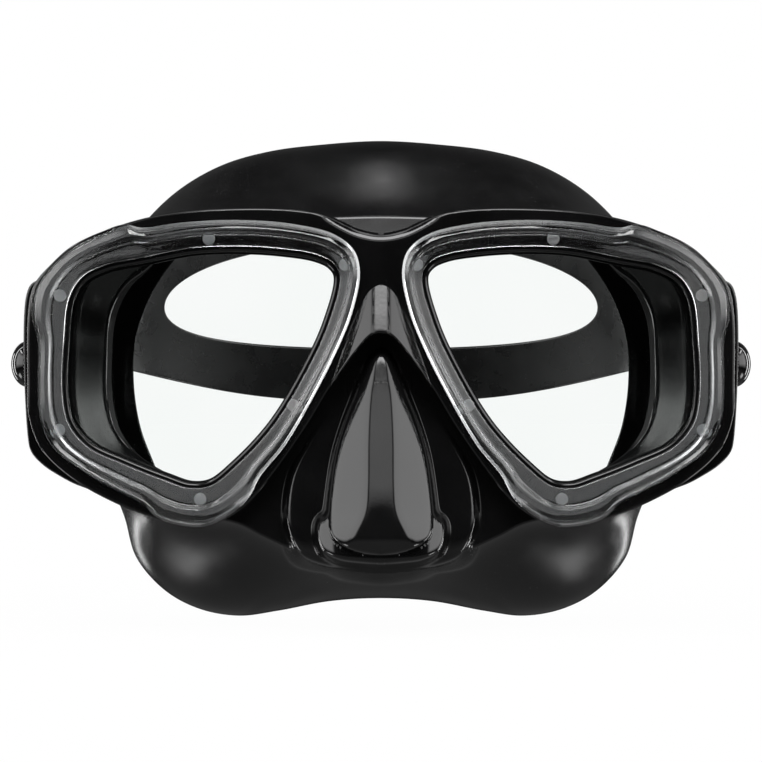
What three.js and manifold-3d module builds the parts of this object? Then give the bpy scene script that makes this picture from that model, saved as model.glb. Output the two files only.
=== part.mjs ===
// Twin-lens diving mask: silicone skirt, rigid frame, clear bezels, glass lenses, swivelling buckles
// and a split silicone head strap, each piece a closed solid of its own.
//
// Millimetres. +X is the wearer's left, +Y runs from the lenses back to the face, +Z is up.
// The origin lies on the mid-plane, in the plane where the skirt meets the forehead.
//
// The frame, bezels and lenses are drawn flat, as outlines in X and Z with a depth behind the
// frame's front face. Each side then leans back with the face: see frontFace.

import * as THREE from 'three';
import { mergeVertices } from 'three/addons/utils/BufferGeometryUtils.js';
import Module from 'manifold-3d';

const wasm = await Module();
wasm.setup();

// ---------------------------------------------------------------- driving dimensions

const GAP = 0.3; // between neighbouring pieces

// Lie of the front face.
const FRONT_Y = -52; // front of the frame at the bridge, level with the eyes
const BRIDGE_HALF_WIDTH = 9; // the bridge is straight across, each side beyond it sweeps back
const SWEEP = 0.12; // millimetres back for each millimetre outwards
const LEAN = 0.10; // millimetres back for each millimetre down

// Depths behind the frame's front face.
const GLASS_FRONT = 2.7;
const GLASS_THICKNESS = 3.5;
const LEDGE_THICKNESS = 2.4; // the frame's ledge in front of the glass edge
const RIM_DEPTH = 6.5; // lens rims of the frame
const FRAME_DEPTH = 11; // side wall of the frame
const FLANGE_FRONT = 6.8; // skirt flange, held behind the lens rims
const FLANGE_BACK = 10.5;
const NECK_DEPTH = 11.5; // where the skirt wall starts behind its flange
const BEZEL_BACK = -GAP;
const HOOK_BACK = 3; // how far the bezel's hooks wrap over the frame's edge

// Steps in from or out from the lens opening.
const LEDGE_SHOWING = 1.3; // black edge of the frame that shows inside the bezel
const GLASS_OVERLAP = 2.2; // glass edge hidden under the bezel
const WINDOW_INSET = 1.6; // skirt window inside the lens opening
const HOOK_THICKNESS = 1.3;
const LOCATING_PAD_RADIUS = 1.5;
const LOCATING_PAD_HEIGHT = 0.8;

// Skirt.
const SKIRT_WALL = 2;
const SEAL_WIDTH = 12; // face seal, turned inwards from the skirt's rear edge
const SEAL_THICKNESS = 1.2;
const BROW_SEAL_WIDTH = 20; // the seal is this wide above the nose bridge
const BROW_SEAL_ANGLE = 0.55; // radians either side of the mid-plane

// Buckles. The strap and both buckles lie in one plane, tilted up towards the back of the head.
const PIVOT = new THREE.Vector3(0, -21, 4.2); // swivel axis, parallel to X
const STRAP_TILT = THREE.MathUtils.degToRad(9.3);
const ARM_INNER_X = 78.5;
const ARM_OUTER_X = 81.7;
const EAR_RADIUS = 9; // rounded end of the arm, about the swivel axis
const WALL_INNER_X = 83.5; // the arm's root widens to the frame's side wall
const WALL_OUTER_X = 85.3;
const ROOT_FRONT_Y = -38;
const WEB_FRONT_Y = -31.4;
const WEB_BACK_Y = -28.9;
const ROOT_LOW_Z = -6;
const ROOT_HIGH_Z = 14;
const STUD_RADIUS = 3;
const HUB_RADIUS = 7.5;
const HUB_INNER_X = 82;
const HUB_OUTER_X = 86;
const CAP_RADIUS = 6.45;
const CAP_INNER_X = 86.3;
const CAP_RIM_X = 87.2;
const CAP_TOP_X = 91.5;
const PEG_RADIUS = 1.5; // tip of the stud, inside the cap
const PEG_TOP_X = 89;
const RAIL_INNER_Z = 10.1;
const RAIL_OUTER_Z = 12.3;
const ROLLER_X = 82.6;
const ROLLER_Y = 13; // behind the pivot
const ROLLER_RADIUS = 2;
const ROLLER_HALF_LENGTH = 9.8;
const PIN_RADIUS = 0.9;
const PIN_HALF_LENGTH = 12;
const LEVER_X = 87.2;
const LEVER_Y = 21;
const LEVER_RADIUS = 1.7;
const LEVER_HALF_LENGTH = 9.5;
const LEVER_PIN_RADIUS = 0.7;
const TAB_HALF_WIDTH = 8;
const SPRING_RADIUS = 1.25;
const SPRING_WIRE_RADIUS = 0.22;
const SPRING_TURNS = 3;
const SPRING_HALF_LENGTH = 1.6;

// Strap.
const STRAP_THICKNESS = 1.7;
const TAIL_GAP = 0.5; // between the strap and the tail that lies on it
const STRAP_X = 79.45; // middle of the strap along the side of the head
const STRAP_STRAIGHT_Y = 54; // end of the straight side run, behind the pivot
const STRAP_LOOP_DEPTH = 71; // from there to the back of the head
const STRAP_END_HALF_HEIGHT = 9.5;
const STRAP_BACK_HALF_HEIGHT = 30;
const SPLIT_BACK_HALF_HEIGHT = 15.4;
const SPLIT_START = THREE.MathUtils.degToRad(40.6); // angle round the loop where the bands part
const WIDENING_END = THREE.MathUtils.degToRad(80);
const TAIL_END_Y = 58;
const KEEPER_START_Y = 38;
const KEEPER_LENGTH = 7;
const KEEPER_WALL = 1.2;

// ---------------------------------------------------------------- outlines, as [x, z]

const LENS_CENTRE = [43, 5];

// Inner edge of the left bezel: what one looks through.
const LENS_OPENING = [
  [9.8, 25.2], [11.6, 28.2], [15.5, 30.1], [24, 31.5], [34, 32.1], [45, 31.7], [57, 29.5],
  [66, 27.7], [71.5, 25], [74.8, 20], [76.2, 10], [76.7, -3], [75.2, -10.5], [70.5, -16],
  [62, -20], [52, -23.9], [46, -25.8], [41, -25.2], [35, -20.6], [26, -11], [18.5, 1], [12.4, 14],
];

// Outer edge of the left bezel, with a wing at the outer brow and one at the bottom.
const BEZEL_EDGE = [
  [5, 26], [6.4, 31], [11, 34.7], [20.5, 37.2], [34.6, 38.3], [48, 37.7], [57, 36.6],
  [61.5, 37.4], [68, 35.2], [74.5, 31.8], [79.8, 27], [83.2, 22], [84, 16], [82.6, 9.5],
  [82.7, 0], [82.2, -9.4], [79, -16.2], [72.5, -21.4], [63, -26.8], [57.6, -29.6],
  [53.8, -33], [48, -34.8], [42, -34.9], [36.5, -32.3], [32, -28.3], [28.8, -22.6],
  [23, -15.5], [16.5, -4.5], [10.5, 7.2], [6.6, 17],
];

// The frame's outline, from the top of the bridge round the left side to the nose notch.
const FRAME_EDGE_HALF = [
  [0, 35.4], [5, 36.2], [12, 39.2], [20, 40.7], [32, 41.2], [48, 40.4], [60.5, 37.9],
  [73.5, 32.8], [79.1, 28.2], [83.4, 23.2], [84.9, 17], [85.3, 0], [85.1, -8.5], [82, -16.7],
  [75, -23.4], [63.7, -29.7], [54, -33.3], [47, -34.9], [41.6, -34.9], [36, -32.4],
  [31, -28.6], [24.2, -20.2], [17.7, -10.8], [12.3, -1.9], [6, 7], [2.4, 10.8], [0, 11.4],
];

// Lower rear corner of the frame, which stands out beyond the front edge.
const REAR_CORNER = [
  [78, 24], [84, 24], [85.9, 21], [85.9, -14], [85.1, -17.3], [82.3, -20.4], [78.2, -23.1],
  [73.3, -25.5], [66, -27], [64, -20], [76, -10],
];

// Outer edge of the skirt's flange, and of its wall just behind the flange.
const FLANGE_EDGE_HALF = [
  [0, 39.8], [16, 39.4], [32, 39], [48, 38.1], [60, 35.7], [72, 30.9], [78, 26], [81.6, 20.5],
  [82.7, 15], [83, 0], [82.8, -8], [80, -15.4], [73.6, -21.6], [62.8, -27.4], [54, -30.8],
  [44, -32.8], [34.6, -34.8], [28.6, -37.8], [20, -41.5], [10, -44.3], [0, -45],
];
const NECK_EDGE_HALF = [
  [0, 38.4], [32, 37.8], [48, 36.8], [60, 33.8], [71, 28], [76, 20], [77.4, 8], [77.4, -6],
  [75, -14.5], [68, -22], [54, -29.5], [43, -32], [34.6, -34], [28.6, -36.8], [20, -40.6],
  [10, -43.4], [0, -44],
];

// Rear edge of the skirt, as [x, y, z]: it follows the forehead, temples, cheeks and upper lip.
const REAR_EDGE_HALF = [
  [0, 0, 60.7], [15, 0.2, 59.8], [28, 1, 58.2], [40, 2.5, 54.9], [51, 5.5, 49], [60, 9, 41],
  [69, 13.5, 29], [75, 17, 14], [76, 18, 0], [74, 17, -14], [69.5, 14, -26], [65.7, 11, -35],
  [62.5, 8, -45], [55, 5.5, -53.3], [46, 3.5, -57.9], [36, 2, -59.5], [26, 0, -58.1],
  [13, -3, -55.5], [0, -5, -54.6],
];

// Places of the bezel's locating pads.
const LOCATING_PADS = [
  [41, 34], [77, 20.6], [77.6, -11.8], [43.4, -28.4], [20.8, -5.8], [8.4, 27.7],
];

// ---------------------------------------------------------------- materials

function material(name, color, roughness, metalness = 0) {
  return new THREE.MeshStandardMaterial({ name, color, roughness, metalness });
}

const silicone = material('black_silicone', 0x161617, 0.5);
const framePlastic = material('black_plastic', 0x101011, 0.22);
const clearPlastic = material('clear_plastic', 0xdfe4e6, 0.08);
clearPlastic.transparent = true;
clearPlastic.opacity = 0.45;
const glass = material('lens_glass', 0xf2f7f5, 0.03);
glass.transparent = true;
glass.opacity = 0.15;
const steel = material('stainless_steel', 0xb9bbbd, 0.3, 1);

// ---------------------------------------------------------------- solids and booleans

function solidFrom(geometry) {
  const bare = geometry.clone();
  bare.deleteAttribute('normal');
  bare.deleteAttribute('uv');
  const merged = mergeVertices(bare, 1e-4);
  return new wasm.Manifold(new wasm.Mesh({
    numProp: 3,
    vertProperties: new Float32Array(merged.attributes.position.array),
    triVerts: new Uint32Array(merged.index.array),
  }));
}

function geometryFrom(solid) {
  const mesh = solid.getMesh();
  const geometry = new THREE.BufferGeometry();
  geometry.setAttribute('position', new THREE.BufferAttribute(mesh.vertProperties, 3));
  geometry.setIndex(new THREE.BufferAttribute(mesh.triVerts, 1));
  geometry.computeVertexNormals();
  return geometry;
}

function joined(geometries) {
  const [first, ...rest] = geometries.map(solidFrom);
  return rest.reduce((sum, solid) => sum.add(solid), first);
}

function cut(solid, geometries) {
  return geometries.reduce((left, geometry) => left.subtract(solidFrom(geometry)), solid);
}

function box(lowX, highX, lowY, highY, lowZ, highZ) {
  const geometry = new THREE.BoxGeometry(highX - lowX, highY - lowY, highZ - lowZ);
  return geometry.translate((lowX + highX) / 2, (lowY + highY) / 2, (lowZ + highZ) / 2);
}

// A round bar from `low` to `high` along an axis, through (a, b) in the other two coordinates.
function bar(axis, radius, low, high, a, b, sides = 20) {
  const geometry = new THREE.CylinderGeometry(radius, radius, high - low, sides);
  const middle = (low + high) / 2;
  if (axis === 'x') return geometry.rotateZ(-Math.PI / 2).translate(middle, a, b);
  return geometry.rotateX(Math.PI / 2).translate(a, b, middle);
}

// Joins equal-length loops of points into one closed skin. A ring's last loop meets its first;
// otherwise each end loop is closed by a fan about its middle.
function skin(loops, ring = false) {
  const count = loops[0].length;
  const points = loops.flat();
  const faces = [];
  const bands = ring ? loops.length : loops.length - 1;
  for (let i = 0; i < bands; i += 1) {
    const here = i * count;
    const next = ((i + 1) % loops.length) * count;
    for (let j = 0; j < count; j += 1) {
      const k = (j + 1) % count;
      faces.push(here + j, next + j, next + k, here + j, next + k, here + k);
    }
  }
  if (!ring) {
    [0, loops.length - 1].forEach((end) => {
      const middle = new THREE.Vector3();
      loops[end].forEach((point) => middle.addScaledVector(point, 1 / count));
      const hub = points.push(middle) - 1;
      for (let j = 0; j < count; j += 1) {
        const a = end * count + j;
        const b = end * count + ((j + 1) % count);
        if (end === 0) faces.push(hub, a, b);
        else faces.push(hub, b, a);
      }
    });
  }
  return outward(points, faces);
}

// Turns a closed skin the right way out, by the sign of its volume.
function outward(points, faces) {
  let volume = 0;
  for (let i = 0; i < faces.length; i += 3) {
    const [a, b, c] = [points[faces[i]], points[faces[i + 1]], points[faces[i + 2]]];
    volume += a.dot(b.clone().cross(c));
  }
  const geometry = new THREE.BufferGeometry().setFromPoints(points);
  geometry.setIndex(volume < 0 ? faces.reverse() : faces);
  geometry.computeVertexNormals();
  return geometry;
}

// ---------------------------------------------------------------- outlines

function mirroredLoop(half) {
  const otherHalf = half.slice(1, -1).reverse().map(([x, ...rest]) => [-x, ...rest]);
  return [...half, ...otherHalf];
}

// A smooth closed curve through the points, as evenly spaced [x, z] pairs.
function smoothLoop(points, count) {
  const flat = points.map(([x, z]) => new THREE.Vector3(x, 0, z));
  const curve = new THREE.CatmullRomCurve3(flat, true, 'centripetal');
  return curve.getSpacedPoints(count).slice(0, count).map((point) => [point.x, point.z]);
}

// The loop moved outwards by a distance, or inwards where it is negative.
function grown(loop, distance) {
  const count = loop.length;
  const area = THREE.ShapeUtils.area(loop.map(([x, z]) => new THREE.Vector2(x, z)));
  const turn = Math.sign(area);
  return loop.map(([x, z], i) => {
    const [ax, az] = loop[(i + count - 1) % count];
    const [bx, bz] = loop[(i + 1) % count];
    const length = Math.hypot(bx - ax, bz - az);
    return [x + (turn * distance * (bz - az)) / length, z - (turn * distance * (bx - ax)) / length];
  });
}

function onSide(side, loop) {
  return loop.map(([x, z]) => [side * x, z]);
}

// Distance from a centre to a closed loop, as a function of the angle.
function radiusOf(loop, [centreX, centreZ]) {
  const polar = loop.map(([x, z]) => [
    Math.atan2(z - centreZ, x - centreX), Math.hypot(x - centreX, z - centreZ)]);
  polar.sort((a, b) => a[0] - b[0]);
  const first = polar[0];
  const last = polar[polar.length - 1];
  const turn = 2 * Math.PI;
  const spokes = [[last[0] - turn, last[1]], ...polar, [first[0] + turn, first[1]]];
  return (angle) => {
    const turned = Math.atan2(Math.sin(angle), Math.cos(angle));
    const next = spokes.findIndex((spoke, i) => i > 0 && spoke[0] >= turned);
    const [a, b] = [spokes[next - 1], spokes[next]];
    const share = (turned - a[0]) / Math.max(b[0] - a[0], 1e-9);
    return a[1] + share * (b[1] - a[1]);
  };
}

// ---------------------------------------------------------------- flat pieces and their lean

// How far back the frame's front face lies at (x, z).
function frontFace(x, z) {
  return FRONT_Y + SWEEP * Math.max(0, Math.abs(x) - BRIDGE_HALF_WIDTH) - LEAN * z;
}

// A flat plate with an outline in X and Z, between two depths.
function plate(loop, front, back) {
  const shape = new THREE.Shape(loop.map(([x, z]) => new THREE.Vector2(x, z)));
  const geometry = new THREE.ExtrudeGeometry(shape, { depth: back - front, bevelEnabled: false });
  return geometry.rotateX(Math.PI / 2).translate(0, back, 0);
}

// Leans a flat piece that lies on one side of the mask; its faces stay flat.
function leanSide(geometry) {
  const position = geometry.attributes.position;
  for (let i = 0; i < position.count; i += 1) {
    const x = Math.abs(position.getX(i)) - BRIDGE_HALF_WIDTH;
    position.setY(i, position.getY(i) + FRONT_Y + SWEEP * x - LEAN * position.getZ(i));
  }
  geometry.computeVertexNormals();
  return geometry;
}

// Leans a flat piece that crosses the bridge: its middle and its two sides lean separately.
function leanAcross(solid) {
  const far = 200;
  const edges = [-far, -BRIDGE_HALF_WIDTH, BRIDGE_HALF_WIDTH, far];
  const parts = edges.slice(0, -1).map((low, zoneIndex) => {
    const high = edges[zoneIndex + 1];
    const zone = geometryFrom(solid.intersect(solidFrom(box(low, high, -far, far, -far, far))));
    const position = zone.attributes.position;
    for (let i = 0; i < position.count; i += 1) {
      const y = position.getY(i) + frontFace(position.getX(i), position.getZ(i));
      position.setY(i, y);
    }
    return zone;
  });
  return joined(parts);
}

// ---------------------------------------------------------------- bezels and lenses

const opening = smoothLoop(LENS_OPENING, 54);
const bezelEdge = smoothLoop(BEZEL_EDGE, 240);
const openingRadius = radiusOf(smoothLoop(LENS_OPENING, 240), LENS_CENTRE);
const bezelRadius = radiusOf(bezelEdge, LENS_CENTRE);

function fromLensCentre(side, angle, radius, depth) {
  const x = LENS_CENTRE[0] + radius * Math.cos(angle);
  const z = LENS_CENTRE[1] + radius * Math.sin(angle);
  return new THREE.Vector3(side * x, depth, z);
}

// The bezel's ring: a flat land round the glass, a ridge, and a slope down to the frame's edge.
function bezelRing(side) {
  const section = [
    [0, BEZEL_BACK], [0, -1.4], [0.42, -1.7], [0.54, -3], [0.72, -3.1], [1, -1], [1, BEZEL_BACK]];
  const steps = 60;
  const loops = [];
  for (let i = 0; i < steps; i += 1) {
    const angle = (i / steps) * 2 * Math.PI;
    const inner = openingRadius(angle);
    const width = bezelRadius(angle) - inner;
    loops.push(section.map(([share, depth]) => (
      fromLensCentre(side, angle, inner + share * width, depth))));
  }
  return skin(loops, true);
}

// A hook of the bezel, which wraps over the frame's edge between two angles about the lens.
function bezelHook(side, [start, end], clearance = 0) {
  const steps = 8;
  const loops = [];
  for (let i = 0; i <= steps; i += 1) {
    const stretch = clearance / 40;
    const angle = start - stretch + (i / steps) * (end - start + 2 * stretch);
    const outer = bezelRadius(angle) + 10 * clearance;
    const inner = bezelRadius(angle) - HOOK_THICKNESS - clearance;
    const back = HOOK_BACK + clearance;
    const front = -0.95 - 4 * clearance;
    loops.push([[inner, front], [outer, front], [outer, back], [inner, back]]
      .map(([radius, depth]) => fromLensCentre(side, angle, radius, depth)));
  }
  return skin(loops);
}

const HOOK_ANGLES = [[0.34, 0.98], [-1.82, -1.27]]; // outer brow, bottom

function locatingPads(side, clearance = 0) {
  const back = LOCATING_PAD_HEIGHT - GAP + clearance;
  return LOCATING_PADS.map(([x, z]) => {
    const disc = new THREE.CylinderGeometry(
      LOCATING_PAD_RADIUS + clearance, LOCATING_PAD_RADIUS + clearance, back + 1, 12);
    return disc.translate(side * x, (back - 1) / 2, z);
  });
}

function bezel(side) {
  const hooks = HOOK_ANGLES.map((angles) => bezelHook(side, angles));
  return leanSide(geometryFrom(joined([bezelRing(side), ...hooks, ...locatingPads(side)])));
}

function lens(side) {
  const loop = onSide(side, grown(opening, GLASS_OVERLAP));
  return leanSide(plate(loop, GLASS_FRONT, GLASS_FRONT + GLASS_THICKNESS));
}

// ---------------------------------------------------------------- frame

function frameArm(side) {
  const web = box(ARM_INNER_X, WALL_OUTER_X, WEB_FRONT_Y, WEB_BACK_Y, ROOT_LOW_Z, ROOT_HIGH_Z);
  const outerWall = box(
    WALL_INNER_X, WALL_OUTER_X, ROOT_FRONT_Y, WEB_BACK_Y, ROOT_LOW_Z, ROOT_HIGH_Z);
  const ear = bar('x', EAR_RADIUS, ARM_INNER_X, ARM_OUTER_X, PIVOT.y, PIVOT.z, 28);
  const reach = EAR_RADIUS - 0.1;
  const earRoot = box(
    ARM_INNER_X, ARM_OUTER_X, WEB_FRONT_Y, PIVOT.y, PIVOT.z - reach, PIVOT.z + reach);
  const stud = bar('x', STUD_RADIUS, ARM_OUTER_X - 1, HUB_OUTER_X + GAP / 2, PIVOT.y, PIVOT.z);
  const peg = bar('x', PEG_RADIUS, HUB_OUTER_X - 1, PEG_TOP_X, PIVOT.y, PIVOT.z, 16);
  const arm = geometryFrom(joined([web, outerWall, ear, earRoot, stud, peg]));
  return side > 0 ? arm : mirrored(arm);
}

function mirrored(geometry) {
  const copy = geometry.clone();
  copy.scale(-1, 1, 1);
  const index = Array.from(copy.index.array);
  copy.setIndex(index.reverse());
  copy.computeVertexNormals();
  return copy;
}

function mainFrame() {
  const outline = smoothLoop(mirroredLoop(FRAME_EDGE_HALF), 110);
  const flangeRoom = grown(smoothLoop(mirroredLoop(FLANGE_EDGE_HALF), 80), GAP);
  const corners = [1, -1].map((side) => (
    plate(onSide(side, REAR_CORNER), RIM_DEPTH - 1, FRAME_DEPTH)));
  const cuts = [plate(flangeRoom, RIM_DEPTH, FRAME_DEPTH + 1)];
  [1, -1].forEach((side) => {
    const hole = onSide(side, grown(opening, -LEDGE_SHOWING));
    const glassRoom = onSide(side, grown(opening, GLASS_OVERLAP + GAP));
    cuts.push(plate(hole, -1, FRAME_DEPTH + 1));
    cuts.push(plate(glassRoom, LEDGE_THICKNESS, FRAME_DEPTH + 1));
    HOOK_ANGLES.forEach((angles) => cuts.push(bezelHook(side, angles, GAP)));
    cuts.push(...locatingPads(side, GAP));
  });
  const leaning = leanAcross(cut(joined([plate(outline, 0, FRAME_DEPTH), ...corners]), cuts));
  return geometryFrom(leaning.add(joined([frameArm(1), frameArm(-1)])));
}

// ---------------------------------------------------------------- skirt

const SKIRT_SPOKES = 60;
const flangeRadius = radiusOf(smoothLoop(mirroredLoop(FLANGE_EDGE_HALF), 400), [0, 0]);
const neckRadius = radiusOf(smoothLoop(mirroredLoop(NECK_EDGE_HALF), 400), [0, 0]);

// The skirt's rear edge as a function of the angle about the bridge: its radius and its y.
function rearEdge() {
  const points = mirroredLoop(REAR_EDGE_HALF).map(([x, y, z]) => new THREE.Vector3(x, y, z));
  const count = 400;
  const smooth = new THREE.CatmullRomCurve3(points, true, 'centripetal');
  const curve = smooth.getSpacedPoints(count).slice(0, count);
  const radius = radiusOf(curve.map((point) => [point.x, point.z]), [0, 0]);
  return (angle) => {
    const direction = new THREE.Vector2(Math.cos(angle), Math.sin(angle));
    const nearest = curve.reduce((best, point) => {
      const reach = (point.x * direction.x + point.z * direction.y) / Math.hypot(point.x, point.z);
      return reach > best.reach ? { reach, y: point.y } : best;
    }, { reach: -2, y: 0 });
    return { radius: radius(angle), y: nearest.y };
  };
}

function sealWidth(angle) {
  const fromTop = Math.abs(Math.atan2(Math.cos(angle), Math.sin(angle)));
  const share = THREE.MathUtils.smoothstep(BROW_SEAL_ANGLE - fromTop, 0, BROW_SEAL_ANGLE);
  return SEAL_WIDTH + share * (BROW_SEAL_WIDTH - SEAL_WIDTH);
}

// One point of a meridian: along a spoke from the bridge, at a radius and a y.
function onSpoke(angle, radius, y) {
  return new THREE.Vector3(radius * Math.cos(angle), y, radius * Math.sin(angle));
}

function onSlope(angle, radius, depth) {
  const front = frontFace(radius * Math.cos(angle), radius * Math.sin(angle));
  return onSpoke(angle, radius, front + depth);
}

// Closed shell: the flange's front, the wall out to the rear edge, the seal turned inwards, and the
// same way back along the inside.
function skirtShell() {
  const edgeAt = rearEdge();
  const meridian = (angle) => {
    const flange = flangeRadius(angle);
    const neck = neckRadius(angle);
    const rear = edgeAt(angle);
    const seal = sealWidth(angle);
    const wallStart = onSlope(angle, neck, NECK_DEPTH).y;
    const wallEnd = rear.y - 3;
    const wall = (share, inset) => {
      const flare = 0.6 * THREE.MathUtils.smoothstep(share, 0, 1) + 0.4 * share;
      const radius = neck + flare * (rear.radius - neck) - inset;
      return onSpoke(angle, radius, wallStart + share * (wallEnd - wallStart));
    };
    const front = [0.08, 0.55, 1].map((share) => onSlope(angle, share * flange, FLANGE_FRONT));
    const outside = [0, 0.35, 0.7, 1].map((share) => wall(share, 0));
    const sealBack = [
      onSpoke(angle, rear.radius - 1.2, rear.y),
      onSpoke(angle, rear.radius - 5, rear.y + 1.2),
      onSpoke(angle, rear.radius - seal, rear.y - 1),
    ];
    const sealFront = [
      onSpoke(angle, rear.radius - seal, rear.y - 1 - SEAL_THICKNESS / 2),
      onSpoke(angle, rear.radius - 5.2, rear.y + 1.2 - SEAL_THICKNESS),
      onSpoke(angle, rear.radius - 2.6, rear.y - 1.6),
    ];
    const inside = [1, 0.7, 0.35].map((share) => wall(share, SKIRT_WALL));
    const back = [1, 0.55, 0.08].map((share) => (
      onSlope(angle, share * (neck - SKIRT_WALL), FLANGE_FRONT + SKIRT_WALL)));
    const flangeEdge = onSlope(angle, flange, FLANGE_BACK);
    return [...front, flangeEdge, ...outside, ...sealBack, ...sealFront, ...inside, ...back];
  };
  const spokes = Array.from(
    { length: SKIRT_SPOKES }, (_, i) => meridian((i / SKIRT_SPOKES) * 2 * Math.PI));
  return skin(spokes[0].map((_, ring) => spokes.map((spoke) => spoke[ring])));
}

// Levels of the nose pocket from its top under the bridge to its bottom: the height, the half width
// and the y of its front, for the pocket itself and for the wide shoulder that it grows out of.
const POCKET_LEVELS = [
  [7.5, 1.2, -48], [3, 5.2, -51.5], [-4, 8.2, -54], [-13, 10.6, -56.5], [-23, 12.2, -58.6],
  [-31, 12.9, -59.8], [-36, 13.4, -59.2], [-40, 13.2, -56], [-43, 11, -50], [-44.6, 7, -44],
];
const SHOULDER_LEVELS = [
  [-12, 12, -45], [-19, 19.5, -46.2], [-26, 22.6, -47], [-34, 23.2, -47], [-39, 22, -46],
  [-43.5, 18, -43.5], [-46.6, 11, -40], [-48, 4, -36],
];

// A pocket that bulges forwards: a rounded section at each level, open to the mask at the back.
function pocket(levels, backY, inset) {
  const steps = 10;
  const round = (value) => Math.sign(value) * Math.abs(value) ** 0.75;
  const lifts = levels.map(() => 0);
  lifts[0] = -inset;
  lifts[levels.length - 1] = inset;
  const loops = levels.map(([z, halfWidth, frontY], level) => {
    const width = Math.max(halfWidth - inset, 0.4);
    const depth = Math.max(backY - frontY - inset, 0.5);
    return Array.from({ length: steps + 1 }, (_, i) => {
      const angle = (i / steps) * Math.PI;
      const x = width * round(Math.cos(angle));
      return new THREE.Vector3(x, backY - depth * round(Math.sin(angle)), z + lifts[level]);
    });
  });
  return skin(loops);
}

function skirt() {
  const bulges = joined([pocket(POCKET_LEVELS, -38, 0), pocket(SHOULDER_LEVELS, -34, 0)]);
  const shoulderInside = SHOULDER_LEVELS.slice(0, 5);
  const hollow = joined([
    pocket(POCKET_LEVELS, -30, SKIRT_WALL), pocket(shoulderInside, -31, SKIRT_WALL)]);
  const windows = [1, -1].map((side) => {
    const loop = onSide(side, grown(opening, -WINDOW_INSET));
    return leanSide(plate(loop, FLANGE_FRONT - 2, FLANGE_FRONT + SKIRT_WALL + 3));
  });
  return geometryFrom(cut(solidFrom(skirtShell()).add(bulges).subtract(hollow), windows));
}

// ---------------------------------------------------------------- buckles, in the strap's plane

// Side pieces are drawn for the wearer's left: x outwards, y behind the pivot, z across the strap.

function swivelCap() {
  const profile = [new THREE.Vector2(PEG_RADIUS + GAP, 0), new THREE.Vector2(CAP_RADIUS, 0)];
  const rim = CAP_RIM_X - CAP_INNER_X;
  const dome = CAP_TOP_X - CAP_RIM_X;
  const steps = 5;
  for (let i = 0; i <= steps; i += 1) {
    const angle = (i / steps) * (Math.PI / 2);
    profile.push(new THREE.Vector2(CAP_RADIUS * Math.cos(angle), rim + dome * Math.sin(angle)));
  }
  const boreTop = PEG_TOP_X + GAP - CAP_INNER_X;
  profile[profile.length - 1].x = 0;
  profile.push(new THREE.Vector2(0, boreTop), new THREE.Vector2(PEG_RADIUS + GAP, boreTop));
  profile.push(profile[0].clone());
  const cap = new THREE.LatheGeometry(profile, 20);
  return geometryFrom(solidFrom(cap.rotateZ(-Math.PI / 2).translate(CAP_INNER_X, 0, 0)));
}

function buckleBody() {
  const hub = bar('x', HUB_RADIUS, HUB_INNER_X, HUB_OUTER_X, 0, 0, 28);
  const web = box(HUB_INNER_X, HUB_OUTER_X, 4, 8.7, -RAIL_OUTER_Z, RAIL_OUTER_Z);
  const pieces = [hub, web];
  [1, -1].forEach((end) => {
    const shape = new THREE.Shape();
    shape.moveTo(HUB_INNER_X, 5.4);
    shape.lineTo(HUB_OUTER_X, 5.4);
    shape.lineTo(88.9, 19.6);
    shape.absarc(LEVER_X, LEVER_Y, 2, -0.4, 1.2, false);
    shape.lineTo(84.6, 26.4);
    shape.lineTo(80.6, 26.4);
    shape.lineTo(79, 22);
    shape.lineTo(79, 12);
    const rail = new THREE.ExtrudeGeometry(shape, {
      depth: RAIL_OUTER_Z - RAIL_INNER_Z, bevelEnabled: false, curveSegments: 5 });
    rail.translate(0, 0, end > 0 ? RAIL_INNER_Z : -RAIL_OUTER_Z);
    pieces.push(rail);
  });
  pieces.push(box(80.8, 82, 20.4, 23.6, -RAIL_INNER_Z - 1, RAIL_INNER_Z + 1));
  const bores = [
    bar('x', STUD_RADIUS + 0.2, HUB_INNER_X - 1, HUB_OUTER_X + 1, 0, 0),
    bar('z', PIN_RADIUS + 0.2, -20, 20, ROLLER_X, ROLLER_Y, 16),
    bar('z', LEVER_PIN_RADIUS + 0.2, -20, 20, LEVER_X, LEVER_Y, 12),
  ];
  return geometryFrom(cut(joined(pieces), bores));
}

function strapRoller() {
  const body = bar('z', ROLLER_RADIUS, -ROLLER_HALF_LENGTH, ROLLER_HALF_LENGTH, ROLLER_X, ROLLER_Y, 20);
  const bore = bar('z', PIN_RADIUS + 0.2, -20, 20, ROLLER_X, ROLLER_Y, 16);
  return geometryFrom(cut(solidFrom(body), [bore]));
}

function crossPin(radius, x, y) {
  return bar('z', radius, -PIN_HALF_LENGTH, PIN_HALF_LENGTH, x, y, 14);
}

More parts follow.
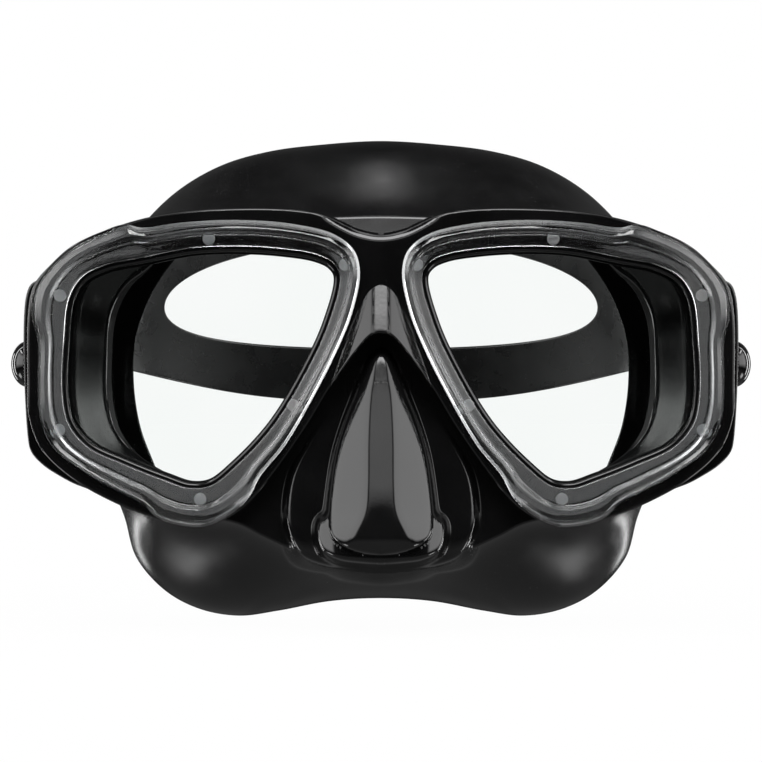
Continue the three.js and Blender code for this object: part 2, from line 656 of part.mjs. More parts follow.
// A barrel on the lever pin, a nose that bites the strap's tail, and a thumb tab.
function releaseLever() {
  const barrel = bar('z', LEVER_RADIUS, -LEVER_HALF_LENGTH, LEVER_HALF_LENGTH, LEVER_X, LEVER_Y, 20);
  const nose = new THREE.Shape([
    new THREE.Vector2(86.4, 19.9), new THREE.Vector2(87.2, 22), new THREE.Vector2(85.2, 21.4),
    new THREE.Vector2(84.9, 20.6), new THREE.Vector2(85.1, 20.1)]);
  const tab = new THREE.Shape();
  tab.moveTo(86.7, 21.6);
  tab.lineTo(88.7, 21.6);
  tab.quadraticCurveTo(88.9, 28, 90.2, 32.6);
  tab.lineTo(88.8, 33.4);
  tab.quadraticCurveTo(87.2, 28, 86.7, 21.6);
  const noseBar = new THREE.ExtrudeGeometry(
    nose, { depth: 2 * LEVER_HALF_LENGTH, bevelEnabled: false });
  noseBar.translate(0, 0, -LEVER_HALF_LENGTH);
  const thumbTab = new THREE.ExtrudeGeometry(
    tab, { depth: 2 * TAB_HALF_WIDTH, bevelEnabled: false, curveSegments: 6 });
  thumbTab.translate(0, 0, -TAB_HALF_WIDTH);
  const springReach = SPRING_HALF_LENGTH + 0.8;
  const springRoom = [
    bar('z', LEVER_PIN_RADIUS + 0.2, -20, 20, LEVER_X, LEVER_Y, 12),
    box(84, 92, 17, LEVER_Y + LEVER_RADIUS + 0.6, -springReach, springReach),
  ];
  return geometryFrom(cut(joined([barrel, noseBar, thumbTab]), springRoom));
}

// A torsion spring round the lever pin, with one leg under the tab and one towards the web.
function leverSpring() {
  const points = [new THREE.Vector3(LEVER_X - SPRING_RADIUS, LEVER_Y + 6.5, -SPRING_HALF_LENGTH)];
  const steps = 10 * SPRING_TURNS;
  for (let i = 0; i <= steps; i += 1) {
    const share = i / steps;
    const angle = Math.PI + share * 2 * Math.PI * SPRING_TURNS;
    points.push(new THREE.Vector3(
      LEVER_X + SPRING_RADIUS * Math.cos(angle), LEVER_Y + SPRING_RADIUS * Math.sin(angle),
      SPRING_HALF_LENGTH * (2 * share - 1)));
  }
  points.push(new THREE.Vector3(LEVER_X - SPRING_RADIUS, LEVER_Y - 5, SPRING_HALF_LENGTH));
  const path = new THREE.CatmullRomCurve3(points, false, 'centripetal');
  const circle = new THREE.Shape();
  circle.absarc(0, 0, SPRING_WIRE_RADIUS, 0, 2 * Math.PI, false);
  const wire = new THREE.ExtrudeGeometry(circle, {
    extrudePath: path, steps: 32, curveSegments: 3, bevelEnabled: false });
  return geometryFrom(solidFrom(wire));
}

// ---------------------------------------------------------------- strap, in its own plane

// The strap's middle line on one side, from the tail's end round the roller and back to the middle
// of the head, with the half height of the strap at each point.
function strapSide() {
  const reach = ROLLER_RADIUS + GAP + STRAP_THICKNESS / 2;
  const line = [];
  const add = (x, y, halfHeight = STRAP_END_HALF_HEIGHT) => line.push({ x, y, halfHeight });
  const tailX = STRAP_X + STRAP_THICKNESS + TAIL_GAP;
  [TAIL_END_Y, 50, 42, 34, 30].forEach((y) => add(tailX, y));
  add(tailX + 0.5, 26.5);
  add(83.25, 22);
  add(84.4, 18);
  const turnSteps = 7;
  for (let i = 0; i <= turnSteps; i += 1) {
    const angle = 0.25 - (i / turnSteps) * (Math.PI + 0.25);
    add(ROLLER_X + reach * Math.cos(angle), ROLLER_Y + reach * Math.sin(angle));
  }
  [20, 30, 42].forEach((y) => add(STRAP_X, y));
  const loopSteps = 18;
  for (let i = 0; i <= loopSteps; i += 1) {
    const angle = (i / loopSteps) * (Math.PI / 2);
    const widening = THREE.MathUtils.smoothstep(angle, 0, WIDENING_END);
    add(STRAP_X * Math.cos(angle), STRAP_STRAIGHT_Y + STRAP_LOOP_DEPTH * Math.sin(angle),
      STRAP_END_HALF_HEIGHT + widening * (STRAP_BACK_HALF_HEIGHT - STRAP_END_HALF_HEIGHT));
  }
  return line;
}

// A ribbon swept along a line in X and Y, standing across it in Z.
function ribbon(line, thickness) {
  const loops = line.map((point, i) => {
    const before = line[Math.max(i - 1, 0)];
    const after = line[Math.min(i + 1, line.length - 1)];
    const along = new THREE.Vector2(after.x - before.x, after.y - before.y).normalize();
    const half = thickness / 2;
    const corner = (side, end) => new THREE.Vector3(
      point.x + side * half * along.y,
      point.y - side * half * along.x,
      end * point.halfHeight,
    );
    return [corner(1, 1), corner(-1, 1), corner(-1, -1), corner(1, -1)];
  });
  return skin(loops);
}

// The slot between the two bands at the back of the head.
function strapSplit() {
  const line = [];
  const steps = 26;
  const span = Math.PI / 2 - SPLIT_START;
  for (let i = 0; i <= steps; i += 1) {
    const share = Math.sin((i / steps - 0.5) * Math.PI);
    const angle = Math.PI / 2 + share * span;
    const openness = Math.sqrt(Math.max(0, 1 - share * share));
    line.push({
      x: STRAP_X * Math.cos(angle),
      y: STRAP_STRAIGHT_Y + STRAP_LOOP_DEPTH * Math.sin(angle),
      halfHeight: Math.max(SPLIT_BACK_HALF_HEIGHT * openness, 0.2),
    });
  }
  return ribbon(line, 4 * STRAP_THICKNESS);
}

function strap() {
  const oneSide = strapSide();
  const otherSide = oneSide.slice(0, -1).reverse().map((point) => ({ ...point, x: -point.x }));
  const whole = ribbon([...oneSide, ...otherSide], STRAP_THICKNESS);
  return geometryFrom(cut(solidFrom(whole), [strapSplit()]));
}

// A band round the strap and its tail.
function strapKeeper() {
  const low = STRAP_X - STRAP_THICKNESS / 2 - 0.4;
  const high = STRAP_X + STRAP_THICKNESS * 1.5 + TAIL_GAP + 0.4;
  const half = STRAP_END_HALF_HEIGHT + 0.5;
  const [start, end] = [KEEPER_START_Y, KEEPER_START_Y + KEEPER_LENGTH];
  const wall = KEEPER_WALL;
  const outer = box(low - wall, high + wall, start, end, -half - wall, half + wall);
  const inner = box(low, high, start - 1, end + 1, -half, half);
  return geometryFrom(cut(solidFrom(outer), [inner]));
}

// ---------------------------------------------------------------- assembly

const mask = new THREE.Group();
mask.name = 'diving_mask';
const strapPlane = new THREE.Group();
strapPlane.position.copy(PIVOT);
strapPlane.rotation.x = STRAP_TILT;
mask.add(strapPlane);

function add(group, name, geometry, look) {
  const mesh = new THREE.Mesh(geometry, look);
  mesh.name = name;
  group.add(mesh);
}

add(mask, 'skirt', skirt(), silicone);
add(mask, 'main_frame', mainFrame(), framePlastic);
[['left', 1], ['right', -1]].forEach(([name, side]) => {
  add(mask, `bezel_${name}`, bezel(side), clearPlastic);
  add(mask, `lens_${name}`, lens(side), glass);
});

const sidePieces = [
  ['swivel_cap', swivelCap(), framePlastic],
  ['buckle_body', buckleBody(), framePlastic],
  ['strap_roller', strapRoller(), framePlastic],
  ['roller_pin', crossPin(PIN_RADIUS, ROLLER_X, ROLLER_Y), steel],
  ['release_lever', releaseLever(), framePlastic],
  ['lever_pin', crossPin(LEVER_PIN_RADIUS, LEVER_X, LEVER_Y), steel],
  ['lever_spring', leverSpring(), steel],
  ['strap_keeper', strapKeeper(), silicone],
];
sidePieces.forEach(([name, geometry, look]) => {
  add(strapPlane, `${name}_left`, geometry, look);
  add(strapPlane, `${name}_right`, mirrored(geometry), look);
});
add(strapPlane, 'strap', strap(), silicone);

export default mask;
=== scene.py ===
"""Looks of the diving mask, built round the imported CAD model.

Lengths in this script are millimetres until a mesh is made: solid() and add_mesh() turn them into
metres. +X is the wearer's left, +Y runs from the lenses back to the face, +Z is up, as in the CAD.
The frame, bezels and lenses are drawn flat, with a depth behind the frame's front face, and then
take the lie of that face: see lean().
"""
import math

import bmesh
import bpy
import numpy as np
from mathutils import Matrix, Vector

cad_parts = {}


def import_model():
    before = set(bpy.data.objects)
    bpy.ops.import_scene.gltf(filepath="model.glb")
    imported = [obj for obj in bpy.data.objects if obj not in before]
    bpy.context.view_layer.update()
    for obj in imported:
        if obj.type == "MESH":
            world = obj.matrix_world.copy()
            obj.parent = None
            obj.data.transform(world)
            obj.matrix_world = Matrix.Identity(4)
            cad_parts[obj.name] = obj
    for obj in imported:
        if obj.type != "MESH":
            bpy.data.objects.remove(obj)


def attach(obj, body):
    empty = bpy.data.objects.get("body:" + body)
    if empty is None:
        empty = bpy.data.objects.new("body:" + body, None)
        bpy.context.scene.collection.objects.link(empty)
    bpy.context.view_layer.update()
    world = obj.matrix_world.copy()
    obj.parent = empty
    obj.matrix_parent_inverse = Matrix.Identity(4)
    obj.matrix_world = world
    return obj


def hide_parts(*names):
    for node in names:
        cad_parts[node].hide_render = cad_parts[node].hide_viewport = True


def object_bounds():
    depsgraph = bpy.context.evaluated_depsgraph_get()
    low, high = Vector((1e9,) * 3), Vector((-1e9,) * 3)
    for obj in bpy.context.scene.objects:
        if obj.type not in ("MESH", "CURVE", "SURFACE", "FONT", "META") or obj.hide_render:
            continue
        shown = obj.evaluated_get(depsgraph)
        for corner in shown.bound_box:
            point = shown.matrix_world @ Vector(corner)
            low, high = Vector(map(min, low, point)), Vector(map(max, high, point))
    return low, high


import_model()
CAD_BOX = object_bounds()

MM = 0.001

# ---- driving dimensions, as in the CAD

FRONT_Y = -52.0
BRIDGE_HALF_WIDTH = 9.0
BRIDGE_BLEND = 5.0
SWEEP = 0.12  # how fast the front falls back sideways
LEAN = 0.10  # how fast the front comes forward upwards

# Depths behind the frame's front face, and thicknesses.
GLASS_FRONT = 2.7
GLASS_THICKNESS = 3.5
LEDGE_THICKNESS = 2.4
RIM_DEPTH = 6.5
FRAME_DEPTH = 11.0
FLANGE_FRONT = 6.8
FLANGE_BACK = 10.5
NECK_DEPTH = 11.5
BEZEL_BACK = -0.3
HOOK_BACK = 3.0
HOOK_THICKNESS = 1.3

# Distances from the outline of the lens opening.
LEDGE_SHOWING = 1.3
GLASS_OVERLAP = 2.2
WINDOW_INSET = 1.6

SKIRT_WALL = 2.0
SEAL_WIDTH = 12.0
TEMPLE_FOLD = 8.0
BROW_SEAL_WIDTH = 20.0
BROW_SEAL_ANGLE = 0.55

STRAP_THICKNESS = 1.7
STRAP_X = 79.45
STRAP_STRAIGHT_Y = 54.0
STRAP_LOOP_DEPTH = 71.0
STRAP_END_HALF_HEIGHT = 9.5
STRAP_BACK_HALF_HEIGHT = 30.0
SPLIT_BACK_HALF_HEIGHT = 15.4
SPLIT_START = math.radians(40.6)
WIDENING_END = math.radians(80)
TAIL_END_Y = 58.0
ROLLER_X = 82.6
ROLLER_Y = 13.0
ROLLER_RADIUS = 2.0
GAP = 0.3

LENS_CENTRE = (43.0, 5.0)

# Outlines as (x, z); halves run from the top of the mid-plane round the left side.
LENS_OPENING = [
    (9.8, 25.2), (11.6, 28.2), (15.5, 30.1), (24, 31.5), (34, 32.1), (45, 31.7), (57, 29.5),
    (66, 27.7), (71.5, 25), (74.8, 20), (76.2, 10), (76.7, -3), (75.2, -10.5), (70.5, -16),
    (62, -20), (52, -23.9), (46, -25.8), (41, -25.2), (35, -20.6), (26, -11), (18.5, 1), (12.4, 14)]
BEZEL_EDGE = [
    (5, 26), (6.4, 31), (11, 34.7), (20.5, 37.2), (34.6, 38.3), (48, 37.7), (57, 36.6),
    (61.5, 37.4), (68, 35.2), (74.5, 31.8), (79.8, 27), (83.2, 22), (84, 16), (82.6, 9.5),
    (82.7, 0), (82.2, -9.4), (79, -16.2), (72.5, -21.4), (63, -26.8), (57.6, -29.6),
    (53.8, -33), (48, -34.8), (42, -34.9), (36.5, -32.3), (32, -28.3), (28.8, -22.6),
    (23, -15.5), (16.5, -4.5), (10.5, 7.2), (6.6, 17)]
FRAME_EDGE_HALF = [
    (0, 35.4), (5, 36.2), (12, 39.2), (20, 40.7), (32, 41.2), (48, 40.4), (60.5, 37.9),
    (73.5, 32.8), (79.1, 28.2), (83.4, 23.2), (84.9, 17), (85.3, 0), (85.1, -8.5), (82, -16.7),
    (75, -23.4), (63.7, -29.7), (54, -33.3), (47, -34.9), (41.6, -34.9), (36, -32.4),
    (31, -28.6), (24.2, -20.2), (17.7, -10.8), (12.3, -1.9), (6, 7), (2.4, 10.8), (0, 11.4)]
REAR_CORNER = [
    (78, 24), (84, 24), (85.9, 21), (85.9, -14), (85.1, -17.3), (82.3, -20.4), (78.2, -23.1),
    (73.3, -25.5), (66, -27), (64, -20), (76, -10)]
FLANGE_EDGE_HALF = [
    (0, 39.8), (16, 39.4), (32, 39), (48, 38.1), (60, 35.7), (72, 30.9), (78, 26), (81.6, 20.5),
    (82.7, 15), (83, 0), (82.8, -8), (80, -15.4), (73.6, -21.6), (62.8, -27.4), (54, -30.8),
    (44, -32.8), (34.6, -34.8), (28.6, -37.8), (20, -41.5), (10, -44.3), (0, -45)]
NECK_EDGE_HALF = [
    (0, 38.4), (32, 37.8), (48, 36.8), (60, 33.8), (71, 28), (76, 20), (77.4, 8), (77.4, -6),
    (75, -14.5), (68, -22), (54, -29.5), (43, -32), (34.6, -34), (28.6, -36.8), (20, -40.6),
    (10, -43.4), (0, -44)]
REAR_EDGE_HALF = [
    (0, 0, 60.7), (15, 0.2, 59.8), (28, 1, 58.2), (40, 2.5, 54.9), (51, 5.5, 49), (60, 9, 41),
    (69, 13.5, 29), (75, 17, 14), (76, 18, 0), (74, 17, -14), (69.5, 14, -26), (65.7, 11, -35),
    (62.5, 8, -45), (55, 5.5, -53.3), (46, 3.5, -57.9), (36, 2, -59.5), (26, 0, -58.1),
    (13, -3, -55.5), (0, -5, -54.6)]
LOCATING_PADS = [(41, 34), (77, 20.6), (77.6, -11.8), (43.4, -28.4), (20.8, -5.8), (8.4, 27.7)]


# ---- curves and outlines

def between(t, low, high, at_low, at_high):
    """The value at t on the straight run from one value at low to another at high."""
    return (high - t) / (high - low) * at_low + (t - low) / (high - low) * at_high


def unit(vectors):
    return vectors / np.linalg.norm(vectors, axis=1, keepdims=True)


def run_along(points):
    """How far along a line each of its points lies."""
    return np.concatenate([[0], np.cumsum(np.linalg.norm(np.diff(points, axis=0), axis=1))])


def closed_curve(points, count, dense=30):
    """Evenly spaced points of a closed centripetal Catmull-Rom curve."""
    points = np.asarray(points, float)
    total = len(points)
    pieces = []
    for i in range(total):
        row = [points[(i + k - 1) % total] for k in range(4)]
        knots = [0.0]
        for a, b in zip(row, row[1:]):
            knots.append(knots[-1] + max(np.linalg.norm(b - a), 1e-6) ** 0.5)
        t = np.linspace(knots[1], knots[2], dense, endpoint=False)[:, None]
        for spans in (((0, 1), (1, 2), (2, 3)), ((0, 2), (1, 3)), ((1, 2),)):
            row = [between(t, knots[low], knots[high], row[k], row[k + 1])
                   for k, (low, high) in enumerate(spans)]
        pieces.append(row[0])
    fine = np.vstack(pieces)
    closed = np.vstack([fine, fine[:1]])
    run = run_along(closed)
    at = np.linspace(0, run[-1], count, endpoint=False)
    return np.stack([np.interp(at, run, closed[:, k]) for k in range(closed.shape[1])], axis=1)


def mirrored_curve(half, count):
    """The closed curve through half an outline and its mirror image."""
    other = [(-point[0], *point[1:]) for point in reversed(half[1:-1])]
    return closed_curve(half + other, count)


def grown(loop, distance):
    """The loop moved outwards by a distance, or inwards where it is negative."""
    loop = np.asarray(loop, float)
    x, z = loop[:, 0], loop[:, 1]
    turn = math.copysign(1, np.sum(x * np.roll(z, -1) - np.roll(x, -1) * z))
    along = unit(np.roll(loop, -1, axis=0) - np.roll(loop, 1, axis=0))
    return loop + turn * distance * np.stack([along[:, 1], -along[:, 0]], axis=1)


def on_side(side, loop):
    loop = np.array(loop, float)
    loop[:, 0] *= side
    return loop


def polar(loop, centre, values=None):
    """A function of the angle about a centre: the loop's radius, or values given at its points."""
    loop = np.asarray(loop, float)
    dx, dz = loop[:, 0] - centre[0], loop[:, 1] - centre[1]
    angle = np.arctan2(dz, dx)
    order = np.argsort(angle)
    known = np.hypot(dx, dz) if values is None else np.asarray(values, float)
    return lambda at: np.interp(at, angle[order], known[order], period=2 * math.pi)


def smoothstep(value):
    value = np.clip(value, 0, 1)
    return value * value * (3 - 2 * value)


# ---- lie of the front face

def sweep_back(x):
    """How far the front lies back at x: straight across the bridge, then sweeping back."""
    out = np.abs(x) - BRIDGE_HALF_WIDTH
    blended = (out + BRIDGE_BLEND) ** 2 / (4 * BRIDGE_BLEND)
    return SWEEP * np.where(out < -BRIDGE_BLEND, 0, np.where(out < BRIDGE_BLEND, blended, out))


def front_face(x, z):
    return FRONT_Y + sweep_back(x) - LEAN * z


def lean(points):
    """Leans points that cross the bridge; y holds the depth behind the front face."""
    points = np.array(points, float)
    points[:, 1] += front_face(points[:, 0], points[:, 2])
    return points


def lean_side(points):
    """Leans points on one side only, so that flat faces stay flat."""
    points = np.array(points, float)
    sideways = SWEEP * (np.abs(points[:, 0]) - BRIDGE_HALF_WIDTH)
    points[:, 1] += FRONT_Y + sideways - LEAN * points[:, 2]
    return points


# ---- meshes

def new_object(name, data):
    thing = bpy.data.objects.new(name, data)
    bpy.context.scene.collection.objects.link(thing)
    return thing


def weld(thing, distance=1e-6):
    """Merges points that meet, and turns the faces outwards."""
    bm = bmesh.new()
    bm.from_mesh(thing.data)
    bmesh.ops.remove_doubles(bm, verts=bm.verts, dist=distance)
    bmesh.ops.recalc_face_normals(bm, faces=bm.faces)
    bm.to_mesh(thing.data)
    bm.free()
    return thing


def add_mesh(name, points, faces, smooth=True):
    """A mesh object from millimetre points, with its faces turned outwards."""
    mesh = bpy.data.meshes.new(name)
    corners = [tuple(point) for point in np.asarray(points) * MM]
    mesh.from_pydata(corners, [], [list(face) for face in faces])
    thing = weld(new_object(name, mesh), 1e-7)
    if smooth:
        mesh.shade_smooth()
    return thing


def loops_skin(loops, ring=False):
    """Points and faces of the skin over equal-length closed loops. A ring's last loop meets its
    first; otherwise each end loop is filled by a fan about its middle."""
    loops = np.asarray(loops, float)
    rows, count = loops.shape[:2]
    points = loops.reshape(-1, 3)
    faces = []
    for i in range(rows if ring else rows - 1):
        here, there = i * count, ((i + 1) % rows) * count
        for j in range(count):
            k = (j + 1) % count
            faces.append((here + j, there + j, there + k, here + k))
    if not ring:
        middles = [loops[0].mean(0), loops[-1].mean(0)]
        first = len(points)
        points = np.vstack([points, middles])
        for end, start in ((0, 0), (1, (rows - 1) * count)):
            for j in range(count):
                faces.append((first + end, start + j, start + (j + 1) % count))
    return points, faces


def flat_solid(name, loops, front, back, bevel=0.0, steps=5):
    """A flat solid between two depths, its outline the first loop and its holes the others, with
    rounded edges. It is drawn in X and Z, and y holds the depth."""
    curve = bpy.data.curves.new(name, "CURVE")
    curve.dimensions = "2D"
    curve.fill_mode = "BOTH"
    curve.extrude = (back - front) / 2 - bevel
    curve.bevel_depth = bevel
    curve.bevel_resolution = steps
    curve.offset = -bevel
    for loop in loops:
        spline = curve.splines.new("POLY")
        spline.points.add(len(loop) - 1)
        spline.use_cyclic_u = True
        for point, (x, z) in zip(spline.points, loop):
            point.co = (x, z, 0, 1)
    carrier = new_object(name, curve)
    bpy.context.view_layer.update()
    mesh = bpy.data.meshes.new_from_object(carrier)
    bpy.data.objects.remove(carrier)
    flat = np.array([v.co for v in mesh.vertices])
    points = np.stack([flat[:, 0], (front + back) / 2 - flat[:, 2], flat[:, 1]], axis=1)
    faces = [list(p.vertices) for p in mesh.polygons]
    bpy.data.meshes.remove(mesh)
    return weld(add_mesh(name, points, faces, smooth=False))


def sliced(thing, axis, places):
    """Adds edges where planes across an axis cut the mesh, so that it can bend there."""
    bm = bmesh.new()
    bm.from_mesh(thing.data)
    normal = Vector([1.0 if k == axis else 0.0 for k in range(3)])
    for place in places:
        geometry = bm.verts[:] + bm.edges[:] + bm.faces[:]
        bmesh.ops.bisect_plane(
            bm, geom=geometry, dist=1e-7, plane_co=normal * place * MM, plane_no=normal)
    bm.to_mesh(thing.data)
    bm.free()


def reshaped(thing, change):
    """Moves a mesh's points by a function of all of them, in millimetres."""
    mesh = thing.data
    flat = np.zeros(len(mesh.vertices) * 3)
    mesh.vertices.foreach_get("co", flat)
    moved = change(flat.reshape(-1, 3) / MM) * MM
    mesh.vertices.foreach_set("co", moved.ravel())
    mesh.update()
    return thing


def on_that_side(side, thing):
    """Mirrors a thing drawn for the wearer's left where the side is the right one, -1."""
    if side < 0:
        reshaped(thing, lambda p: p * np.array([-1, 1, 1]))
        thing.data.flip_normals()
    return thing


def combine(thing, others, operation):
    """Joins others to a closed mesh or cuts them from it, and removes them."""
    for other in others:
        modifier = thing.modifiers.new("combine", "BOOLEAN")
        modifier.operation = operation
        modifier.solver = "EXACT"
        modifier.object = other
        bpy.context.view_layer.update()
        depsgraph = bpy.context.evaluated_depsgraph_get()
        result = bpy.data.meshes.new_from_object(thing.evaluated_get(depsgraph))
        thing.modifiers.clear()
        thing.data = result
        bpy.data.objects.remove(other)
    return thing


def shade(thing, angle=35.0):
    """Smooth shading with sharp edges kept where faces meet at more than an angle."""
    thing.data.shade_smooth()
    thing.data.set_sharp_from_angle(angle=math.radians(angle))
    return thing


# ---- simple machined and moulded shapes

SIDES = (("left", 1), ("right", -1))


def turned(name, profile, axis, steps=72):
    """A solid turned about an axis through the origin, from pairs of radius and height."""
    angle = np.linspace(0, 2 * math.pi, steps, endpoint=False)
    loops = [np.stack([r * np.cos(angle), r * np.sin(angle), np.full(steps, h)], axis=1)
             for r, h in profile]
    points, faces = loops_skin(loops)
    order = {"x": (2, 0, 1), "z": (0, 1, 2)}[axis]
    return shade(add_mesh(name, points[:, order], faces))


def rod(name, radius, low, high, axis, edge=0.25):
    """A turned rod with rounded ends."""
    corner = edge * 0.3
    profile = [(radius - edge, low), (radius - corner, low + corner), (radius, low + edge),
               (radius, high - edge), (radius - corner, high - corner), (radius - edge, high)]
    return turned(name, profile, axis)


def prism(name, loops, low, high, axis, bevel):
    """A prism with rounded edges along an axis; its loops are in the other two coordinates."""
    thing = flat_solid(name, loops, low, high, bevel)
    order = {"x": (1, 0, 2), "y": (0, 1, 2), "z": (0, 2, 1)}[axis]
    return shade(weld(reshaped(thing, lambda points: points[:, order])))


def rectangle(low_a, high_a, low_b, high_b, radius, steps=6):
    """A rectangle with rounded corners, as a loop."""
    loop = []
    corners = [(high_a, high_b, 0), (low_a, high_b, 1), (low_a, low_b, 2), (high_a, low_b, 3)]
    for a, b, quarter in corners:
        inward_a = -1 if a == high_a else 1
        inward_b = -1 if b == high_b else 1
        for i in range(steps + 1):
            turn = (quarter + i / steps) * math.pi / 2
            loop.append((a + inward_a * radius + radius * math.cos(turn),
                         b + inward_b * radius + radius * math.sin(turn)))
    return loop


def arc(x, y, radius, start, end, steps=10):
    turns = np.linspace(start, end, steps)
    return [(x + radius * math.cos(t), y + radius * math.sin(t)) for t in turns]


def shifted(thing, x, y, z=0.0):
    return reshaped(thing, lambda points: points + np.array([x, y, z]))


def gathered(name, things):
    """Joins several meshes into one object with their materials, without merging their surfaces."""
    bm = bmesh.new()
    mesh = bpy.data.meshes.new(name)
    for thing in things:
        first = len(bm.faces)
        bm.from_mesh(thing.data)
        bm.faces.ensure_lookup_table()
        for face in bm.faces[first:]:
            face.material_index += len(mesh.materials)
        for material in thing.data.materials:
            mesh.materials.append(material)
    bm.to_mesh(mesh)
    bm.free()
    for thing in things:
        bpy.data.objects.remove(thing)
    return new_object(name, mesh)


# ---- bezels and lenses

OPENING = closed_curve(LENS_OPENING, 360)
OPENING_RADIUS = polar(OPENING, LENS_CENTRE)
BEZEL_RADIUS = polar(closed_curve(BEZEL_EDGE, 900), LENS_CENTRE)
HOOK_ANGLES = [(0.34, 0.98), (-1.82, -1.27)]  # radians about the lens centre


def cut_corners(sections, ratio, passes):
    """Rounds closed polygons, held as (polygon, corner, coordinate), by cutting their corners."""
    for _ in range(passes):
        after = np.roll(sections, -1, axis=1)
        near = sections + ratio * (after - sections)
        far = after + ratio * (sections - after)
        sections = np.stack([near, far], axis=2).reshape(len(sections), -1, sections.shape[2])
        ratio = 0.25
    return sections


def bezel_ring(side):
    """A flat land round the glass, a ridge, a slope to the frame's edge, and hooks over it."""
    angle = np.linspace(-math.pi, math.pi, 480, endpoint=False)
    inner = OPENING_RADIUS(angle)
    width = BEZEL_RADIUS(angle) - inner
    hooked = sum(smoothstep((angle - low) / 0.02) * smoothstep((high - angle) / 0.02)
                 for low, high in HOOK_ANGLES)
    back = BEZEL_BACK + hooked * (HOOK_BACK - BEZEL_BACK)
    hook = 1 - HOOK_THICKNESS / width
    # Shares of the width from the opening to the outer edge, with depths.
    section = [(0, BEZEL_BACK), (0, -1.4), (0.44, -1.7), (0.54, -3), (0.68, -3.2), (0.86, -2.5),
               (1, -0.6), (1, back), (hook, back), (hook, BEZEL_BACK)]
    corners = [np.stack([inner + share * width, depth + 0 * angle], axis=1)
               for share, depth in section]
    sections = cut_corners(np.stack(corners, axis=1), 0.07, 3)
    radius, depth = sections[:, :, 0], sections[:, :, 1]
    x = side * (LENS_CENTRE[0] + radius * np.cos(angle)[:, None])
    z = LENS_CENTRE[1] + radius * np.sin(angle)[:, None]
    points, faces = loops_skin(np.stack([x, depth, z], axis=2), ring=True)
    return add_mesh("ring", lean_side(points), faces)


def bezel_pads(side):
    """Round locating pads on the back of the bezel, each a hair clear of its ring."""
    pads = []
    for x, z in LOCATING_PADS:
        circle = arc(side * x, z, 1.5, 0, 2 * math.pi, 41)[:-1]
        pad = flat_solid("pad", [circle], BEZEL_BACK + 0.02, 0.5, 0.15)
        pads.append(shade(reshaped(pad, lean_side)))
    return pads


def bezel(name, side, clear, frosted):
    """The clear ring with its frosted pads."""
    pads = painted(gathered("pads", bezel_pads(side)), frosted)
    return gathered(f"look_bezel_{name}", [painted(bezel_ring(side), clear), pads])


def lens(name, side):
    loop = on_side(side, grown(OPENING, GLASS_OVERLAP))
    pane = flat_solid(f"look_lens_{name}", [loop], GLASS_FRONT, GLASS_FRONT + GLASS_THICKNESS, 0.4)
    return shade(reshaped(pane, lean_side))


# ---- frame

PIVOT = (0.0, -21.0, 4.2)  # a point on the axis that both buckles swivel on


def distance_to(loop, x, z):
    """Distance from points to the nearest point of a closely spaced loop."""
    nearest = np.full(x.shape, np.inf)
    for part in np.array_split(np.asarray(loop), 12):
        apart = np.hypot(x[..., None] - part[:, 0], z[..., None] - part[:, 1])
        nearest = np.minimum(nearest, apart.min(axis=-1))
    return nearest


def outside_of(loop, x, z):
    """Signed distance from a loop: positive outside it and negative inside."""
    loop = np.asarray(loop)
    crossings = np.zeros(x.shape, int)
    for (ax, az), (bx, bz) in zip(loop, np.roll(loop, -1, axis=0)):
        level = (az > z) != (bz > z)
        if az != bz:
            crossings += level & (x < (bx - ax) * (z - az) / (bz - az) + ax)
    return np.where(crossings % 2 == 1, -1, 1) * distance_to(loop, x, z)


def bend(distance, softness):
    """0 below a distance of 0 and the distance itself above it, with a soft corner."""
    return 0.5 * (distance + np.sqrt(distance ** 2 + softness ** 2))


# The upper edge of the raised tongue over the nose notch. Its middle is one facet; on each side a
# flank falls away to this edge.
TONGUE_EDGE_HALF = [
    (0, 22.9), (1.2, 22.5), (2.3, 21.8), (3.4, 20.5), (5.0, 17.7), (6.7, 14.2), (8.0, 10.8),
    (9.7, 5.6), (12.3, -1.8)]
TONGUE_SLOPE = 0.36
TONGUE_MIDDLE = 1.7  # half width of the middle facet
TONGUE_SIDE_SLOPE = 4  # of the step from the middle facet down to the flanks
TONGUE_SUNK = 0.15
TONGUE_DEEPEST = 0.5  # of its front, where it meets the frame's own front
TONGUE_BACK = 0.75
TONGUE_EDGE_RADIUS = 0.5
TONGUE_REACH = 12.0  # half width of the columns
FLANK_SLOPE = 0.27
FLANK_FALL = 1.06
FLANK_CURVE = 1.33
BROW_RADIUS = 3.2
RELIEF_STEP = 0.7  # between the slices of the frame that let its brow bend


